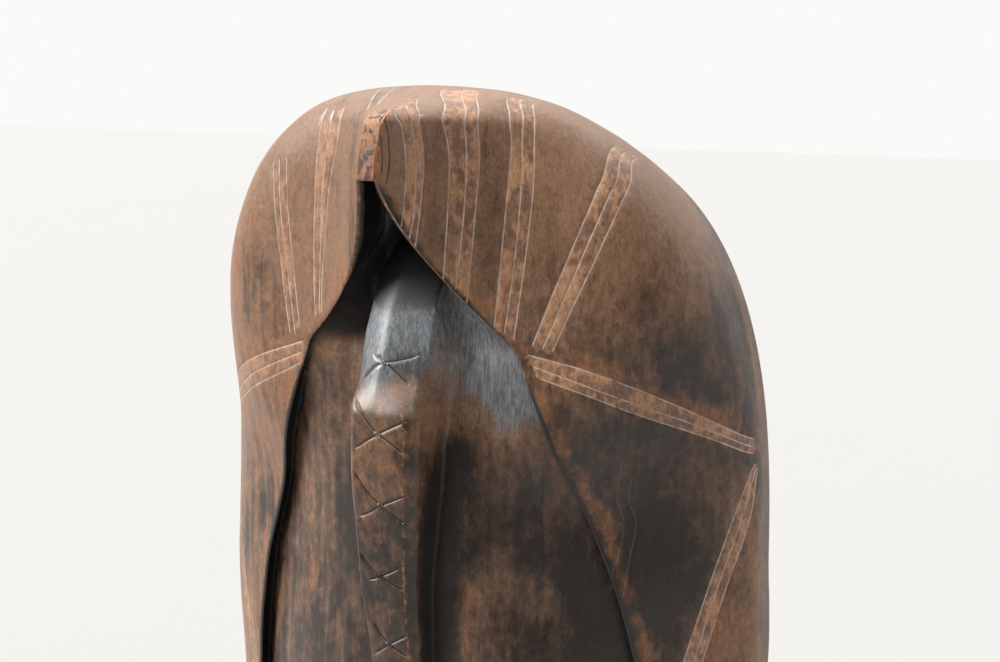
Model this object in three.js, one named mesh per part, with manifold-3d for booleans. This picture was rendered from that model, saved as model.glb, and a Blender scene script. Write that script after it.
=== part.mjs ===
// Carved wooden mask, hollowed out behind, with a steel D-ring hanger screwed into its back.
// Millimetres, +Z up, front toward -Y. The back rim lies in the plane y = 0 and rests on the wall.
import * as THREE from 'three';
import { mergeVertices } from 'three/addons/utils/BufferGeometryUtils.js';
import Module from 'manifold-3d';

const wasm = await Module();
wasm.setup();

// Outline of the block, seen from the front; it is a little wider on its right. Heights are above the chin.
const HALF_WIDTHS = { left: 137.5, right: 142.7 };
const WIDEST_HEIGHT = 317.6;
const CROWN_RISE = 226.5;
const CROWN_SQUARENESS = 2.75;
const CHEEK_SQUARENESS = 1.77;
const CHIN_SQUARENESS = 2.1;
const MOUNT_HEIGHT = 504;

// Domed hood: depth is measured from the wall.
const RIM_DEPTH = 13.4;
const DOME_DEPTH = 69.8;
const JAW_DEPTH_LOSS = 5.5;
const SIDE_PROFILE = { flatness: 1.75, shoulder: 1.86, undercut: 0.021 };
const CROWN_PROFILE = { flatness: 17.6, shoulder: 13, undercut: 0.113 };
const CROWN_BLEND = 5.7;
const UNDERCUT_DEPTH = 89;
const KEEL_HEIGHT = 49;
const KEEL_HALF_WIDTH = 4.6;
const KEEL_SPREAD = 24;
const KEEL_TOP = [547, 527];
const KEEL_FOOT = [200, 330];

// Parting of the hood: half width of the opening at a few heights, then the groove down the cheeks.
const OPENING = [
  [150, 121], [180, 116], [225, 109], [270, 103], [313, 94.5], [352, 81], [400, 63.5],
  [424, 54.5], [427, 53.5], [439, 41], [455, 27], [472, 16], [486, 9.5], [501, 0],
];
const BORDER_WIDTH = 6;
const STEP_SHALLOW = 2;
const STEP_DEEP = 8;
const CAVE_RISE = 40;
const FACE_BEND = 2.2;
const JAW_BEND = 3.5;

// Depth of the sunk face along its centre line, and the long nose standing on it.
const FACE_CENTRE = [
  [0, 58], [60, 72], [150, 82], [240, 85], [300, 86], [350, 88], [400, 88], [440, 78], [470, 66], [500, 60],
];
const NOSE_FRONT = [
  [180, 92], [188, 103], [200, 105], [240, 97], [283, 99], [312, 102], [350, 109],
  [377, 114], [395, 115], [412, 109], [434, 103], [467, 88], [480, 76], [490, 62],
];
const NOSE_HALF_WIDTH = [
  [180, 14], [190, 20], [205, 18], [230, 12], [283, 12], [319, 14], [350, 16], [395, 16.5], [412, 14.8],
  [426, 16.8], [443, 16], [467, 14], [480, 12], [490, 8],
];
const NOSE_BEVEL = 2.5;
const NOSE_FLAT_SHARE = 0.75;
const NOSE_ROOT = 30;
const NOSE_ROWS = 20;

// Calm closed eyes and a full mouth.
const EYE = { x: 52, height: 238, length: 27, opening: 11, stand: 13, sunk: 3, slit: 1.6, slitDepth: 5 };
const LIPS = { upper: 116, lower: 103, halfWidth: 25, halfHeight: 7.5, stand: 12, sunk: 2 };

// Hollow behind the face.
const HOLLOW_HALF_WIDTH = 122;
const HOLLOW_RISE = 136;
const HOLLOW_DROP = 300;
const HOLLOW_DEPTH = 63;
const HOLLOW_EDGE_DEPTH = 0.06;
const HOLLOW_FLATNESS = 2.6;
const HOLLOW_SHOULDER = 0.62;

// Pocket in the back for the hanger, just under the top of the rim, and the lug left standing below it.
const POCKET = { halfWidth: 21, bottom: 416, top: 488, depth: 14, corner: 6 };
const LUG = { halfWidth: 15, bottom: 422, top: 462, front: 52 };
const GAP = 0.3;

// Hanger: folded steel strap, D-ring of bent wire and two pan-head screws.
const STRAP = { width: 14, thickness: 1.2, bottom: 427, pivot: 462, loopInner: 1.8 };
const RING = { wire: 1.5, straight: 16, corner: 3, drop: 19, sides: 10, steps: 48 };
const SCREW = { heights: [450.5, 435], shank: 1.6, head: 3.4, headHeight: 2, length: 13 };
const SCREW_SIDES = 20;
const HOLE_RADIUS = SCREW.shank + GAP;

const radians = THREE.MathUtils.degToRad;
const smoothstep = (from, to, t) => {
  const k = Math.min(1, Math.max(0, (t - from) / (to - from)));
  return k * k * (3 - 2 * k);
};

// How far a direction counts as the crown: 0 at the sides and below, 1 straight up.
const crownness = (angle) => Math.max(0, Math.sin(angle)) ** CROWN_BLEND;
const blendProfile = (key, angle) =>
  SIDE_PROFILE[key] + (CROWN_PROFILE[key] - SIDE_PROFILE[key]) * crownness(angle);

// Straight interpolation between a few [height, value] stations.
function along(stations, height) {
  const last = stations.length - 1;
  if (height <= stations[0][0]) return stations[0][1];
  if (height >= stations[last][0]) return stations[last][1];
  const next = stations.findIndex((station) => station[0] >= height);
  const [h0, v0] = stations[next - 1];
  const [h1, v1] = stations[next];
  return v0 + ((v1 - v0) * (height - h0)) / (h1 - h0);
}

// Distance from the widest point to a rounded-square outline, in direction `angle`.
function outlineRadius(angle, halfWidth, rise, drop) {
  const up = Math.sin(angle) > 0;
  const jaw = smoothstep(0.25, 0.95, -Math.sin(angle));
  const n = up ? CROWN_SQUARENESS : CHEEK_SQUARENESS + (CHIN_SQUARENESS - CHEEK_SQUARENESS) * jaw;
  const vertical = up ? rise : drop;
  const sum = (Math.abs(Math.cos(angle)) / halfWidth) ** n + (Math.abs(Math.sin(angle)) / vertical) ** n;
  return sum ** (-1 / n);
}

function blockRadius(angle) {
  const halfWidth = Math.cos(angle) > 0 ? HALF_WIDTHS.right : HALF_WIDTHS.left;
  return outlineRadius(angle, halfWidth, CROWN_RISE, WIDEST_HEIGHT);
}

const hollowRadius = (angle) => outlineRadius(angle, HOLLOW_HALF_WIDTH, HOLLOW_RISE, HOLLOW_DROP);

// Depth of the hood's outer surface. `share` runs from 0 at the middle to 1 at the rim.
function hoodDepth(share, angle) {
  const reach = share * blockRadius(angle);
  const x = reach * Math.cos(angle);
  const height = WIDEST_HEIGHT + reach * Math.sin(angle);
  const curve = 1 - Math.min(1, share) ** blendProfile('flatness', angle);
  const dome = curve ** (1 / blendProfile('shoulder', angle));
  const beside = Math.max(0, Math.abs(x) - KEEL_HALF_WIDTH);
  const keelRange = smoothstep(...KEEL_TOP, height) * smoothstep(...KEEL_FOOT, height);
  const keel = KEEL_HEIGHT * keelRange * Math.exp(-beside / KEEL_SPREAD);
  return RIM_DEPTH + (DOME_DEPTH - JAW_DEPTH_LOSS * smoothstep(330, 200, height)) * dome + keel;
}

// A point of the block; low points are drawn in so that the crown overhangs the wall.
function blockPoint(share, angle, depth) {
  const undercut = blendProfile('undercut', angle) * smoothstep(-0.3, 0.1, Math.sin(angle));
  const drawn = 1 - undercut * (1 - Math.min(1, depth / UNDERCUT_DEPTH)) ** 2;
  const reach = share * blockRadius(angle) * drawn;
  return pointAt(reach * Math.cos(angle), WIDEST_HEIGHT + reach * Math.sin(angle), depth);
}

const pointAt = (x, height, depth) => [x, -depth, height - MOUNT_HEIGHT];

// Share of the radius at which the hood's edge, or the groove below it, crosses a given direction.
function openingShare(angle) {
  let inside = 0;
  let outside = blockRadius(angle);
  for (let i = 0; i < 40; i += 1) {
    const reach = (inside + outside) / 2;
    const halfWidth = along(OPENING, WIDEST_HEIGHT + reach * Math.sin(angle));
    if (reach * Math.abs(Math.cos(angle)) < halfWidth - 1e-9) inside = reach;
    else outside = reach;
  }
  return Math.min(outside, blockRadius(angle) - BORDER_WIDTH) / blockRadius(angle);
}

// Depth of the sunk face. `share` runs from 0 at the middle to 1 at the opening's edge.
function faceDepth(share, angle) {
  const edge = openingShare(angle);
  const reach = share * edge * blockRadius(angle);
  const height = WIDEST_HEIGHT + reach * Math.sin(angle);
  const edgeHeight = WIDEST_HEIGHT + edge * blockRadius(angle) * Math.sin(angle);
  const above = Math.sin(angle) > 0;
  const halfWidth = Math.max(0.5, along(OPENING, height));
  const sideways = above ? Math.abs(reach * Math.cos(angle)) / halfWidth : share;
  const centre = along(FACE_CENTRE, height);
  const stepHeight = above ? height : edgeHeight;
  const deepening = smoothstep(424, 330, stepHeight) - smoothstep(260, 180, edgeHeight);
  const step = STEP_SHALLOW + (STEP_DEEP - STEP_SHALLOW) * deepening;
  const side = above ? rowEdgeDepth(height) : hoodDepth(edge, angle);
  const foot = Math.min(side - step, centre + CAVE_RISE);
  const bend = FACE_BEND + (JAW_BEND - FACE_BEND) * smoothstep(0, 1, -Math.sin(angle));
  return centre + (foot - centre) * Math.min(1, sideways) ** bend;
}

// Depth of the hood's edge at one height.
function rowEdgeDepth(height) {
  const x = Math.max(0.5, along(OPENING, height));
  const angle = Math.atan2(height - WIDEST_HEIGHT, x);
  return hoodDepth(Math.hypot(x, height - WIDEST_HEIGHT) / blockRadius(angle), angle);
}

// Wide rays over the cheeks and jaw, close ones at the keel.
function rayAngles() {
  const right = [];
  for (let degrees = -90; degrees < 60; degrees += 6) right.push(degrees);
  right.push(61.7, 66, 71, 76, 80.5, 84, 86.6, 88.5);
  const left = right.slice(1).map((degrees) => 180 - degrees).reverse();
  return [...right, 90, ...left].map(radians);
}

// Closed surface from rings of points; the first and last ring are single poles.
function closedSurface(rings) {
  const positions = [];
  const starts = rings.map((ring) => {
    const start = positions.length / 3;
    ring.forEach((point) => positions.push(...point));
    return start;
  });
  const indices = [];
  for (let r = 0; r + 1 < rings.length; r += 1) {
    const count = Math.max(rings[r].length, rings[r + 1].length);
    for (let i = 0; i < count; i += 1) {
      const j = (i + 1) % count;
      const a = starts[r] + (rings[r].length === 1 ? 0 : i);
      const b = starts[r] + (rings[r].length === 1 ? 0 : j);
      const c = starts[r + 1] + (rings[r + 1].length === 1 ? 0 : i);
      const d = starts[r + 1] + (rings[r + 1].length === 1 ? 0 : j);
      if (a !== b) indices.push(a, c, b);
      if (c !== d) indices.push(b, c, d);
    }
  }
  const geometry = new THREE.BufferGeometry();
  geometry.setAttribute('position', new THREE.Float32BufferAttribute(positions, 3));
  geometry.setIndex(indices);
  return geometry;
}

function toManifold(geometry) {
  const bare = geometry.clone();
  bare.deleteAttribute('normal');
  bare.deleteAttribute('uv');
  const merged = mergeVertices(bare, 1e-5);
  const vertProperties = new Float32Array(merged.attributes.position.array);
  const triVerts = new Uint32Array(merged.index.array);
  return new wasm.Manifold(new wasm.Mesh({ numProp: 3, vertProperties, triVerts }));
}

function toGeometry(solid) {
  const mesh = solid.getMesh();
  const geometry = new THREE.BufferGeometry();
  geometry.setAttribute('position', new THREE.BufferAttribute(new Float32Array(mesh.vertProperties), 3));
  geometry.setIndex([...mesh.triVerts]);
  geometry.computeVertexNormals();
  return geometry;
}

// Domed block with its sunk face in front and its hollow behind, as one closed shell.
function carvedBlock() {
  const angles = rayAngles();
  const ring = (place) => angles.map(place);
  const faceShares = [0.1, 0.22, 0.35, 0.48, 0.6, 0.7, 0.79, 0.87, 0.94, 1];
  const hoodSteps = [0, 0.12, 0.24, 0.36, 0.48, 0.6, 0.72, 0.84, 0.93, 1];
  const hollowShares = [1, 0.97, 0.9, 0.78, 0.62, 0.42, 0.2];
  const facePoint = (share, angle) => {
    const reach = share * openingShare(angle) * blockRadius(angle);
    const height = WIDEST_HEIGHT + reach * Math.sin(angle);
    return pointAt(reach * Math.cos(angle), height, faceDepth(share, angle));
  };
  const hoodPoint = (step, angle) => {
    const edge = openingShare(angle);
    const share = edge + (1 - edge) * (1 - (1 - step) ** 2);
    return blockPoint(share, angle, hoodDepth(share, angle));
  };
  const hollowPoint = (share, angle) => {
    const reach = share * hollowRadius(angle);
    const bowl = (1 - share ** HOLLOW_FLATNESS) ** HOLLOW_SHOULDER;
    const depth = share === 1 ? 0 : HOLLOW_DEPTH * (HOLLOW_EDGE_DEPTH + bowl);
    return pointAt(reach * Math.cos(angle), WIDEST_HEIGHT + reach * Math.sin(angle), depth);
  };
  return closedSurface([
    [pointAt(0, WIDEST_HEIGHT, faceDepth(0, 0))],
    ...faceShares.map((share) => ring((angle) => facePoint(share, angle))),
    ...hoodSteps.map((step) => ring((angle) => hoodPoint(step, angle))),
    ring((angle) => blockPoint(1, angle, 0)),
    ...hollowShares.map((share) => ring((angle) => hollowPoint(share, angle))),
    [pointAt(0, WIDEST_HEIGHT, HOLLOW_DEPTH * (1 + HOLLOW_EDGE_DEPTH))],
  ]);
}

// Long nose: a bevelled bar swept down the face, flaring at the nostrils.
function nose() {
  const bottom = NOSE_FRONT[0][0];
  const top = NOSE_FRONT[NOSE_FRONT.length - 1][0];
  const rows = [];
  for (let i = 0; i <= NOSE_ROWS; i += 1) {
    const height = bottom + ((top - bottom) * i) / NOSE_ROWS;
    const half = along(NOSE_HALF_WIDTH, height);
    const front = along(NOSE_FRONT, height);
    rows.push([
      pointAt(-half, height, front - NOSE_ROOT),
      pointAt(-half, height, front - NOSE_BEVEL),
      pointAt(half * -NOSE_FLAT_SHARE, height, front),
      pointAt(0, height, front + 1),
      pointAt(half * NOSE_FLAT_SHARE, height, front),
      pointAt(half, height, front - NOSE_BEVEL),
      pointAt(half, height, front - NOSE_ROOT),
    ]);
  }
  const middle = (row) => pointAt(0, row[0][2] + MOUNT_HEIGHT, -row[3][1] - NOSE_ROOT / 2);
  return closedSurface([[middle(rows[NOSE_ROWS])], ...rows.reverse(), [middle(rows[NOSE_ROWS])]]);
}

function ellipsoid(halfX, halfY, halfZ, centre) {
  const geometry = new THREE.SphereGeometry(1, 20, 12);
  geometry.scale(halfX, halfY, halfZ);
  geometry.translate(...centre);
  return geometry;
}

// Depth of the bare face at a place given by x and height.
function faceDepthAt(x, height) {
  const angle = Math.atan2(height - WIDEST_HEIGHT, x);
  const reach = Math.hypot(x, height - WIDEST_HEIGHT);
  return faceDepth(reach / (openingShare(angle) * blockRadius(angle)), angle);
}

function bar(width, depth, height, centre) {
  const geometry = new THREE.BoxGeometry(width, depth, height);
  geometry.translate(...centre);
  return geometry;
}

function cylinderAlongY(radius, length, centre) {
  const geometry = new THREE.CylinderGeometry(radius, radius, length, SCREW_SIDES);
  geometry.translate(...centre);
  return geometry;
}

function pocket() {
  const { halfWidth, bottom, top, depth, corner } = POCKET;
  const shape = new THREE.Shape();
  shape.moveTo(-halfWidth, bottom);
  shape.lineTo(halfWidth, bottom);
  shape.lineTo(halfWidth, top - corner);
  shape.absarc(halfWidth - corner, top - corner, corner, 0, Math.PI / 2);
  shape.absarc(corner - halfWidth, top - corner, corner, Math.PI / 2, Math.PI);
  const overrun = 5;
  const settings = { depth: depth + overrun, bevelEnabled: false, curveSegments: 4 };
  const geometry = new THREE.ExtrudeGeometry(shape, settings);
  geometry.rotateX(Math.PI / 2);
  geometry.translate(0, overrun, -MOUNT_HEIGHT);
  return geometry;
}

function maskBody() {
  let body = toManifold(carvedBlock()).add(toManifold(nose()));
  for (const side of [-1, 1]) {
    const x = side * EYE.x;
    const centre = faceDepthAt(x, EYE.height) - EYE.sunk;
    const lid = ellipsoid(EYE.length, EYE.stand, EYE.opening, pointAt(x, EYE.height, centre));
    body = body.add(toManifold(lid));
    const slitPlace = pointAt(x, EYE.height - EYE.sunk, centre + EYE.stand);
    const slit = bar(EYE.length * 1.5, EYE.slitDepth * 2, EYE.slit, slitPlace);
    body = body.subtract(toManifold(slit));
  }
  for (const height of [LIPS.upper, LIPS.lower]) {
    const centre = pointAt(0, height, faceDepthAt(0.01, height) - LIPS.sunk);
    const lip = ellipsoid(LIPS.halfWidth, LIPS.stand, LIPS.halfHeight, centre);
    body = body.add(toManifold(lip));
  }
  const lugDepth = LUG.front - POCKET.depth + 2;
  const lugHeight = LUG.top - LUG.bottom;
  const lugCentre = pointAt(0, (LUG.top + LUG.bottom) / 2, LUG.front - lugDepth / 2);
  body = body.add(toManifold(bar(LUG.halfWidth * 2, lugDepth, lugHeight, lugCentre)));
  body = body.subtract(toManifold(pocket()));
  for (const height of SCREW.heights) {
    const place = pointAt(0, height, POCKET.depth + SCREW.length / 2);
    const pilot = cylinderAlongY(HOLE_RADIUS, SCREW.length + GAP, place);
    body = body.subtract(toManifold(pilot));
  }
  return toGeometry(body);
}

// Strap profile seen from the side, with its top end rolled into a loop round the ring's bar.
function hangerPlate() {
  const { width, thickness, bottom, pivot, loopInner } = STRAP;
  const outer = loopInner + thickness;
  const wood = POCKET.depth - GAP;
  const shape = new THREE.Shape();
  shape.moveTo(-wood, bottom);
  shape.lineTo(-wood + thickness, bottom);
  shape.lineTo(-wood + thickness, pivot - Math.sqrt(outer ** 2 - (outer - thickness) ** 2));
  shape.absarc(outer - wood, pivot, outer, Math.PI + Math.acos(loopInner / outer), Math.PI * 3, false);
  shape.lineTo(-wood, bottom);
  const eye = new THREE.Path();
  eye.absarc(outer - wood, pivot, loopInner, 0, Math.PI * 2, true);
  shape.holes.push(eye);
  const geometry = new THREE.ExtrudeGeometry(shape, { depth: width, bevelEnabled: false, curveSegments: 10 });
  // The profile was drawn as (y, z); turn it so that the extrusion runs along X.
  geometry.applyMatrix4(new THREE.Matrix4().makeBasis(
    new THREE.Vector3(0, 1, 0), new THREE.Vector3(0, 0, 1), new THREE.Vector3(1, 0, 0),
  ));
  geometry.translate(-width / 2, 0, -MOUNT_HEIGHT);
  let plate = toManifold(geometry);
  for (const height of SCREW.heights) {
    plate = plate.subtract(toManifold(cylinderAlongY(HOLE_RADIUS, 10, pointAt(0, height, wood))));
  }
  return toGeometry(plate);
}

// D-shaped loop of round wire: a straight bar through the strap's loop and a bow hanging below it.
function hangerRing() {
  const { wire, straight, corner, drop, sides, steps } = RING;
  const half = straight / 2 + corner;
  const path = new THREE.CurvePath();
  const line = (x0, z0, x1, z1) =>
    path.add(new THREE.LineCurve(new THREE.Vector2(x0, z0), new THREE.Vector2(x1, z1)));
  const arc = (x, z, r, from, to) => path.add(new THREE.EllipseCurve(x, z, r, r, from, to));
  line(-straight / 2, 0, straight / 2, 0);
  arc(straight / 2, corner, corner, -Math.PI / 2, 0);
  line(half, corner, half, drop - half);
  arc(0, drop - half, half, 0, Math.PI);
  line(-half, drop - half, -half, corner);
  arc(-straight / 2, corner, corner, Math.PI, Math.PI * 1.5);
  const centreDepth = POCKET.depth - GAP - STRAP.loopInner - STRAP.thickness;
  const rings = [];
  for (let i = 0; i < steps; i += 1) {
    const here = path.getPointAt(i / steps);
    const ahead = path.getPointAt((i + 0.02) / steps);
    const out = new THREE.Vector2(ahead.y - here.y, here.x - ahead.x).normalize();
    const around = [];
    for (let k = 0; k < sides; k += 1) {
      const turn = (Math.PI * 2 * k) / sides;
      const away = Math.cos(turn) * wire;
      const x = here.x + out.x * away;
      const height = STRAP.pivot - here.y - out.y * away;
      around.push(pointAt(x, height, centreDepth - Math.sin(turn) * wire));
    }
    rings.push(around);
  }
  return closedLoop(rings);
}

// Tube whose last ring joins its first.
function closedLoop(rings) {
  const sides = rings[0].length;
  const indices = [];
  rings.forEach((ring, r) => {
    const next = (r + 1) % rings.length;
    for (let i = 0; i < sides; i += 1) {
      const j = (i + 1) % sides;
      indices.push(r * sides + i, next * sides + i, r * sides + j);
      indices.push(r * sides + j, next * sides + i, next * sides + j);
    }
  });
  const geometry = new THREE.BufferGeometry();
  geometry.setAttribute('position', new THREE.Float32BufferAttribute(rings.flat(2), 3));
  geometry.setIndex(indices);
  return geometry;
}

// Pan-head wood screw pointing into the block.
function hangerScrew(height) {
  const { shank, head, headHeight, length } = SCREW;
  const seat = POCKET.depth - GAP - STRAP.thickness - GAP;
  const profile = [
    [0, headHeight], [head * 0.55, headHeight * 0.95], [head * 0.9, headHeight * 0.6], [head, 0],
    [shank, 0], [shank, 2 - length], [0, 0.5 - length],
  ];
  const points = profile.map(([radius, outward]) => new THREE.Vector2(radius, outward)).reverse();
  const geometry = new THREE.LatheGeometry(points, SCREW_SIDES);
  geometry.translate(0, -seat, height - MOUNT_HEIGHT);
  return geometry;
}

// Same shape with shared corners and fresh normals.
const welded = (geometry) => toGeometry(toManifold(geometry));

function painted(color, roughness, metalness) {
  return new THREE.MeshStandardMaterial({ color, roughness, metalness });
}

const group = new THREE.Group();
group.name = 'carved_wooden_mask';
function addPart(name, geometry, material) {
  const mesh = new THREE.Mesh(geometry, material);
  mesh.name = name;
  group.add(mesh);
}

addPart('mask_body', maskBody(), painted(0x5a4030, 0.45, 0));
addPart('hanger_plate', hangerPlate(), painted(0xb59a5a, 0.35, 1));
addPart('hanger_ring', welded(hangerRing()), painted(0xb8b8b4, 0.35, 1));
addPart('hanger_screw_upper', welded(hangerScrew(SCREW.heights[0])), painted(0xc2a15c, 0.35, 1));
addPart('hanger_screw_lower', welded(hangerScrew(SCREW.heights[1])), painted(0xc2a15c, 0.35, 1));

export default group;
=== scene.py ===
"""Carved wooden mask: the looks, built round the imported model."""
import math

import bmesh
import bpy
import numpy as np
from mathutils import Matrix, Vector, noise
from mathutils.geometry import delaunay_2d_cdt
from mathutils.kdtree import KDTree


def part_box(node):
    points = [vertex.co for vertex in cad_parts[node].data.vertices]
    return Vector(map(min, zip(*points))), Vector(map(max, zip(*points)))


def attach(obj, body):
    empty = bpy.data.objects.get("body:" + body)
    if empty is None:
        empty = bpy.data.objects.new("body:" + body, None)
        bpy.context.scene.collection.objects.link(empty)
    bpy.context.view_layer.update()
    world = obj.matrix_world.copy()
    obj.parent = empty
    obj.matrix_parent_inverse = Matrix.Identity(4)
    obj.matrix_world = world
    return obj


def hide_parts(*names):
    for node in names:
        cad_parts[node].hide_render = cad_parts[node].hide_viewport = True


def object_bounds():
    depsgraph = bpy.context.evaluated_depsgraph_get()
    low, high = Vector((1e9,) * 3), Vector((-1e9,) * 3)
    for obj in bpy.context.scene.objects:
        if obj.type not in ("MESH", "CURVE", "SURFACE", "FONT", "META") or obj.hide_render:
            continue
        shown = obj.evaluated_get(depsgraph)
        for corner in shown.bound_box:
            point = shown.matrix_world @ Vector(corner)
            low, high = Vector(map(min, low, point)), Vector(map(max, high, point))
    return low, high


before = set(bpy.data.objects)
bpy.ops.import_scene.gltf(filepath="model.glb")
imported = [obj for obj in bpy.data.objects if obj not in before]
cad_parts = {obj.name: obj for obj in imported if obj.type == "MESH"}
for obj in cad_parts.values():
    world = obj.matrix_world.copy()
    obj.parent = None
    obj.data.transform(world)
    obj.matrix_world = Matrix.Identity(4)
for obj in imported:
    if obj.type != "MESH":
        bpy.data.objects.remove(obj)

CAD_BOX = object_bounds()
MM = 0.001
RANDOM = np.random.default_rng(7)

# The mask is drawn in millimetres: x to the viewer's right, height above the chin, depth out from the wall.
BODY_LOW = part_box("mask_body")[0]
CHIN = BODY_LOW[2]

# Outline and dome, as in the CAD source.
HALF_LEFT, HALF_RIGHT = 137.5, 142.7
WIDEST = 317.6
CROWN_RISE = 226.5
CROWN_SQUARENESS = 2.75
CHEEK_SQUARENESS = 1.77
CHIN_SQUARENESS = 2.1
RIM_DEPTH = 13.4
DOME_DEPTH = 69.8
SIDE_FLATNESS, CROWN_FLATNESS = 1.75, 17.6
SIDE_SHOULDER, CROWN_SHOULDER = 1.86, 13.0
SIDE_UNDERCUT, CROWN_UNDERCUT = 0.021, 0.113
CROWN_BLEND = 5.7
JAW_DEPTH_LOSS = 5.5
UNDERCUT_DEPTH = 89.0
KEEL_HEIGHT = 49.0
KEEL_HALF = 4.6
KEEL_SPREAD = 24.0
KEEL_LEAN = 4.5
BORDER = 6.0

HOOD_EDGE = [(427, 53.5), (439, 41), (455, 27), (472, 16), (486, 9.8), (502, 5)]
GROOVE = [(150, 121), (180, 116), (225, 109), (270, 103), (313, 94.5), (352, 81), (400, 63.5), (425, 54.5)]
FACE_CENTRE = [(0, 58), (60, 72), (150, 82), (240, 85), (300, 86), (350, 88), (400, 88), (440, 78),
               (470, 66), (500, 60)]
NOSE_FRONT = [(180, 92), (188, 103), (200, 105), (240, 97), (283, 99), (312, 102), (350, 109),
              (377, 114), (395, 115), (412, 109), (434, 103), (467, 88), (480, 76), (490, 62)]
NOSE_LEFT = [(178, -14), (190, -20), (205, -18), (230, -12.5), (284, -14.3), (300, -16.7), (319, -18.6),
             (357, -18.6), (395, -17.4), (402, -18.3), (414, -18.3), (426, -18.7), (444, -17.7), (467, -15.5),
             (480, -13), (490, -9)]
NOSE_RIGHT = [(178, 14), (190, 20), (205, 18), (230, 11.5), (287, 10), (313, 9.7), (341, 12.2), (369, 14.9),
              (392, 15.9), (403, 12.9), (414, 11.2), (426, 15.5), (435, 15), (467, 14), (480, 11.5), (490, 8)]


# ---- curves and surfaces

def smooth(start, end, t):
    k = np.clip((t - start) / (end - start), 0, 1)
    return k * k * (3 - 2 * k)


def bell(value, middle, width):
    """1 at the middle, falling off smoothly on both sides."""
    return np.exp(-((value - middle) / width) ** 2)


def spot(x, height, at, width):
    """1 at one (x, height) place, falling off smoothly by a (sideways, upward) width."""
    return bell(x, at[0], width[0]) * bell(height, at[1], width[1])


def through(stations, at):
    """Smooth curve through a few (place, value) stations, without overshoot."""
    xs, ys = np.array(stations, float).T
    steps = np.diff(ys) / np.diff(xs)
    slopes = np.zeros(len(xs))
    same = steps[1:] * steps[:-1] > 0
    slopes[1:-1][same] = 2 * (steps[1:] * steps[:-1])[same] / (steps[1:] + steps[:-1])[same]
    slopes[0], slopes[-1] = steps[0], steps[-1]
    at = np.clip(np.asarray(at, float), xs[0], xs[-1])
    i = np.clip(np.searchsorted(xs, at) - 1, 0, len(xs) - 2)
    width = xs[i + 1] - xs[i]
    t = (at - xs[i]) / width
    h00, h10 = (1 + 2 * t) * (1 - t) ** 2, t * (1 - t) ** 2
    h01, h11 = t * t * (3 - 2 * t), t * t * (t - 1)
    return h00 * ys[i] + h10 * width * slopes[i] + h01 * ys[i + 1] + h11 * width * slopes[i + 1]


def opening_half(height):
    """Half width of the opening: the hood's edge above the corner, the groove below it."""
    half = np.where(height > 426, through(HOOD_EDGE, height), through(GROOVE, height))
    return np.where(height > 502, 0.0, half)


def superellipse(angle, half, rise, drop):
    c, s = np.abs(np.cos(angle)), np.abs(np.sin(angle))
    up = np.sin(angle) > 0
    jaw = smooth(0.25, 0.95, -np.sin(angle))
    n = np.where(up, CROWN_SQUARENESS, CHEEK_SQUARENESS + (CHIN_SQUARENESS - CHEEK_SQUARENESS) * jaw)
    return ((c / half) ** n + (s / np.where(up, rise, drop)) ** n) ** (-1 / n)


def block_radius(angle):
    return superellipse(angle, np.where(np.cos(angle) > 0, HALF_RIGHT, HALF_LEFT), CROWN_RISE, WIDEST)


def crownness(angle):
    return np.clip(np.sin(angle), 0, None) ** CROWN_BLEND


def keel_middle(height):
    """Where the crest runs: upright low down, leaning to one side at the top."""
    return KEEL_LEAN * smooth(505, 540, height)


def hood_depth(share, angle):
    reach = share * block_radius(angle)
    x, height = reach * np.cos(angle), WIDEST + reach * np.sin(angle)
    crown = crownness(angle)
    flatness = SIDE_FLATNESS + (CROWN_FLATNESS - SIDE_FLATNESS) * crown
    shoulder = SIDE_SHOULDER + (CROWN_SHOULDER - SIDE_SHOULDER) * crown
    dome = np.clip(1 - np.clip(share, 0, 1) ** flatness, 0, None) ** (1 / shoulder)
    beside = np.clip(np.abs(x - keel_middle(height)) - KEEL_HALF, 0, None)
    keel = KEEL_HEIGHT * smooth(547, 527, height) * smooth(200, 330, height) * np.exp(-beside / KEEL_SPREAD)
    return RIM_DEPTH + (DOME_DEPTH - JAW_DEPTH_LOSS * smooth(330, 200, height)) * dome + keel


def hood_point(share, angle, depth=None):
    if depth is None:
        depth = hood_depth(share, angle)
    undercut = SIDE_UNDERCUT + (CROWN_UNDERCUT - SIDE_UNDERCUT) * crownness(angle)
    undercut = undercut * smooth(-0.3, 0.1, np.sin(angle))
    drawn = 1 - undercut * (1 - np.clip(depth / UNDERCUT_DEPTH, 0, 1)) ** 2
    reach = share * block_radius(angle) * drawn
    return np.stack([reach * np.cos(angle), WIDEST + reach * np.sin(angle), depth + 0 * reach], -1)


def opening_share(angle):
    inside, outside = np.zeros_like(angle), block_radius(angle)
    for _ in range(40):
        reach = (inside + outside) / 2
        within = reach * np.abs(np.cos(angle)) < opening_half(WIDEST + reach * np.sin(angle)) - 1e-9
        inside, outside = np.where(within, reach, inside), np.where(within, outside, reach)
    radius = block_radius(angle)
    return np.minimum(outside, radius - BORDER) / radius


def depth_over(x, height):
    """Depth of the hood's own surface over a plan point, before its undercut."""
    angle = np.arctan2(height - WIDEST, x)
    share = np.hypot(x, height - WIDEST) / block_radius(angle)
    return hood_depth(np.clip(share, 0, 1), angle)


EDGE_ANGLES = np.radians(np.linspace(-180, 180, 2881))
EDGE_SHARES = opening_share(EDGE_ANGLES)


def edge_share(angle):
    turned = (angle + np.pi) % (2 * np.pi) - np.pi
    return np.interp(turned, EDGE_ANGLES, EDGE_SHARES)


def step_depth(height):
    """How far the face lies under the hood's edge."""
    return 2 + 7 * smooth(424, 388, height) + 26 * smooth(450, 482, height) - 6 * smooth(260, 180, height)


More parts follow.
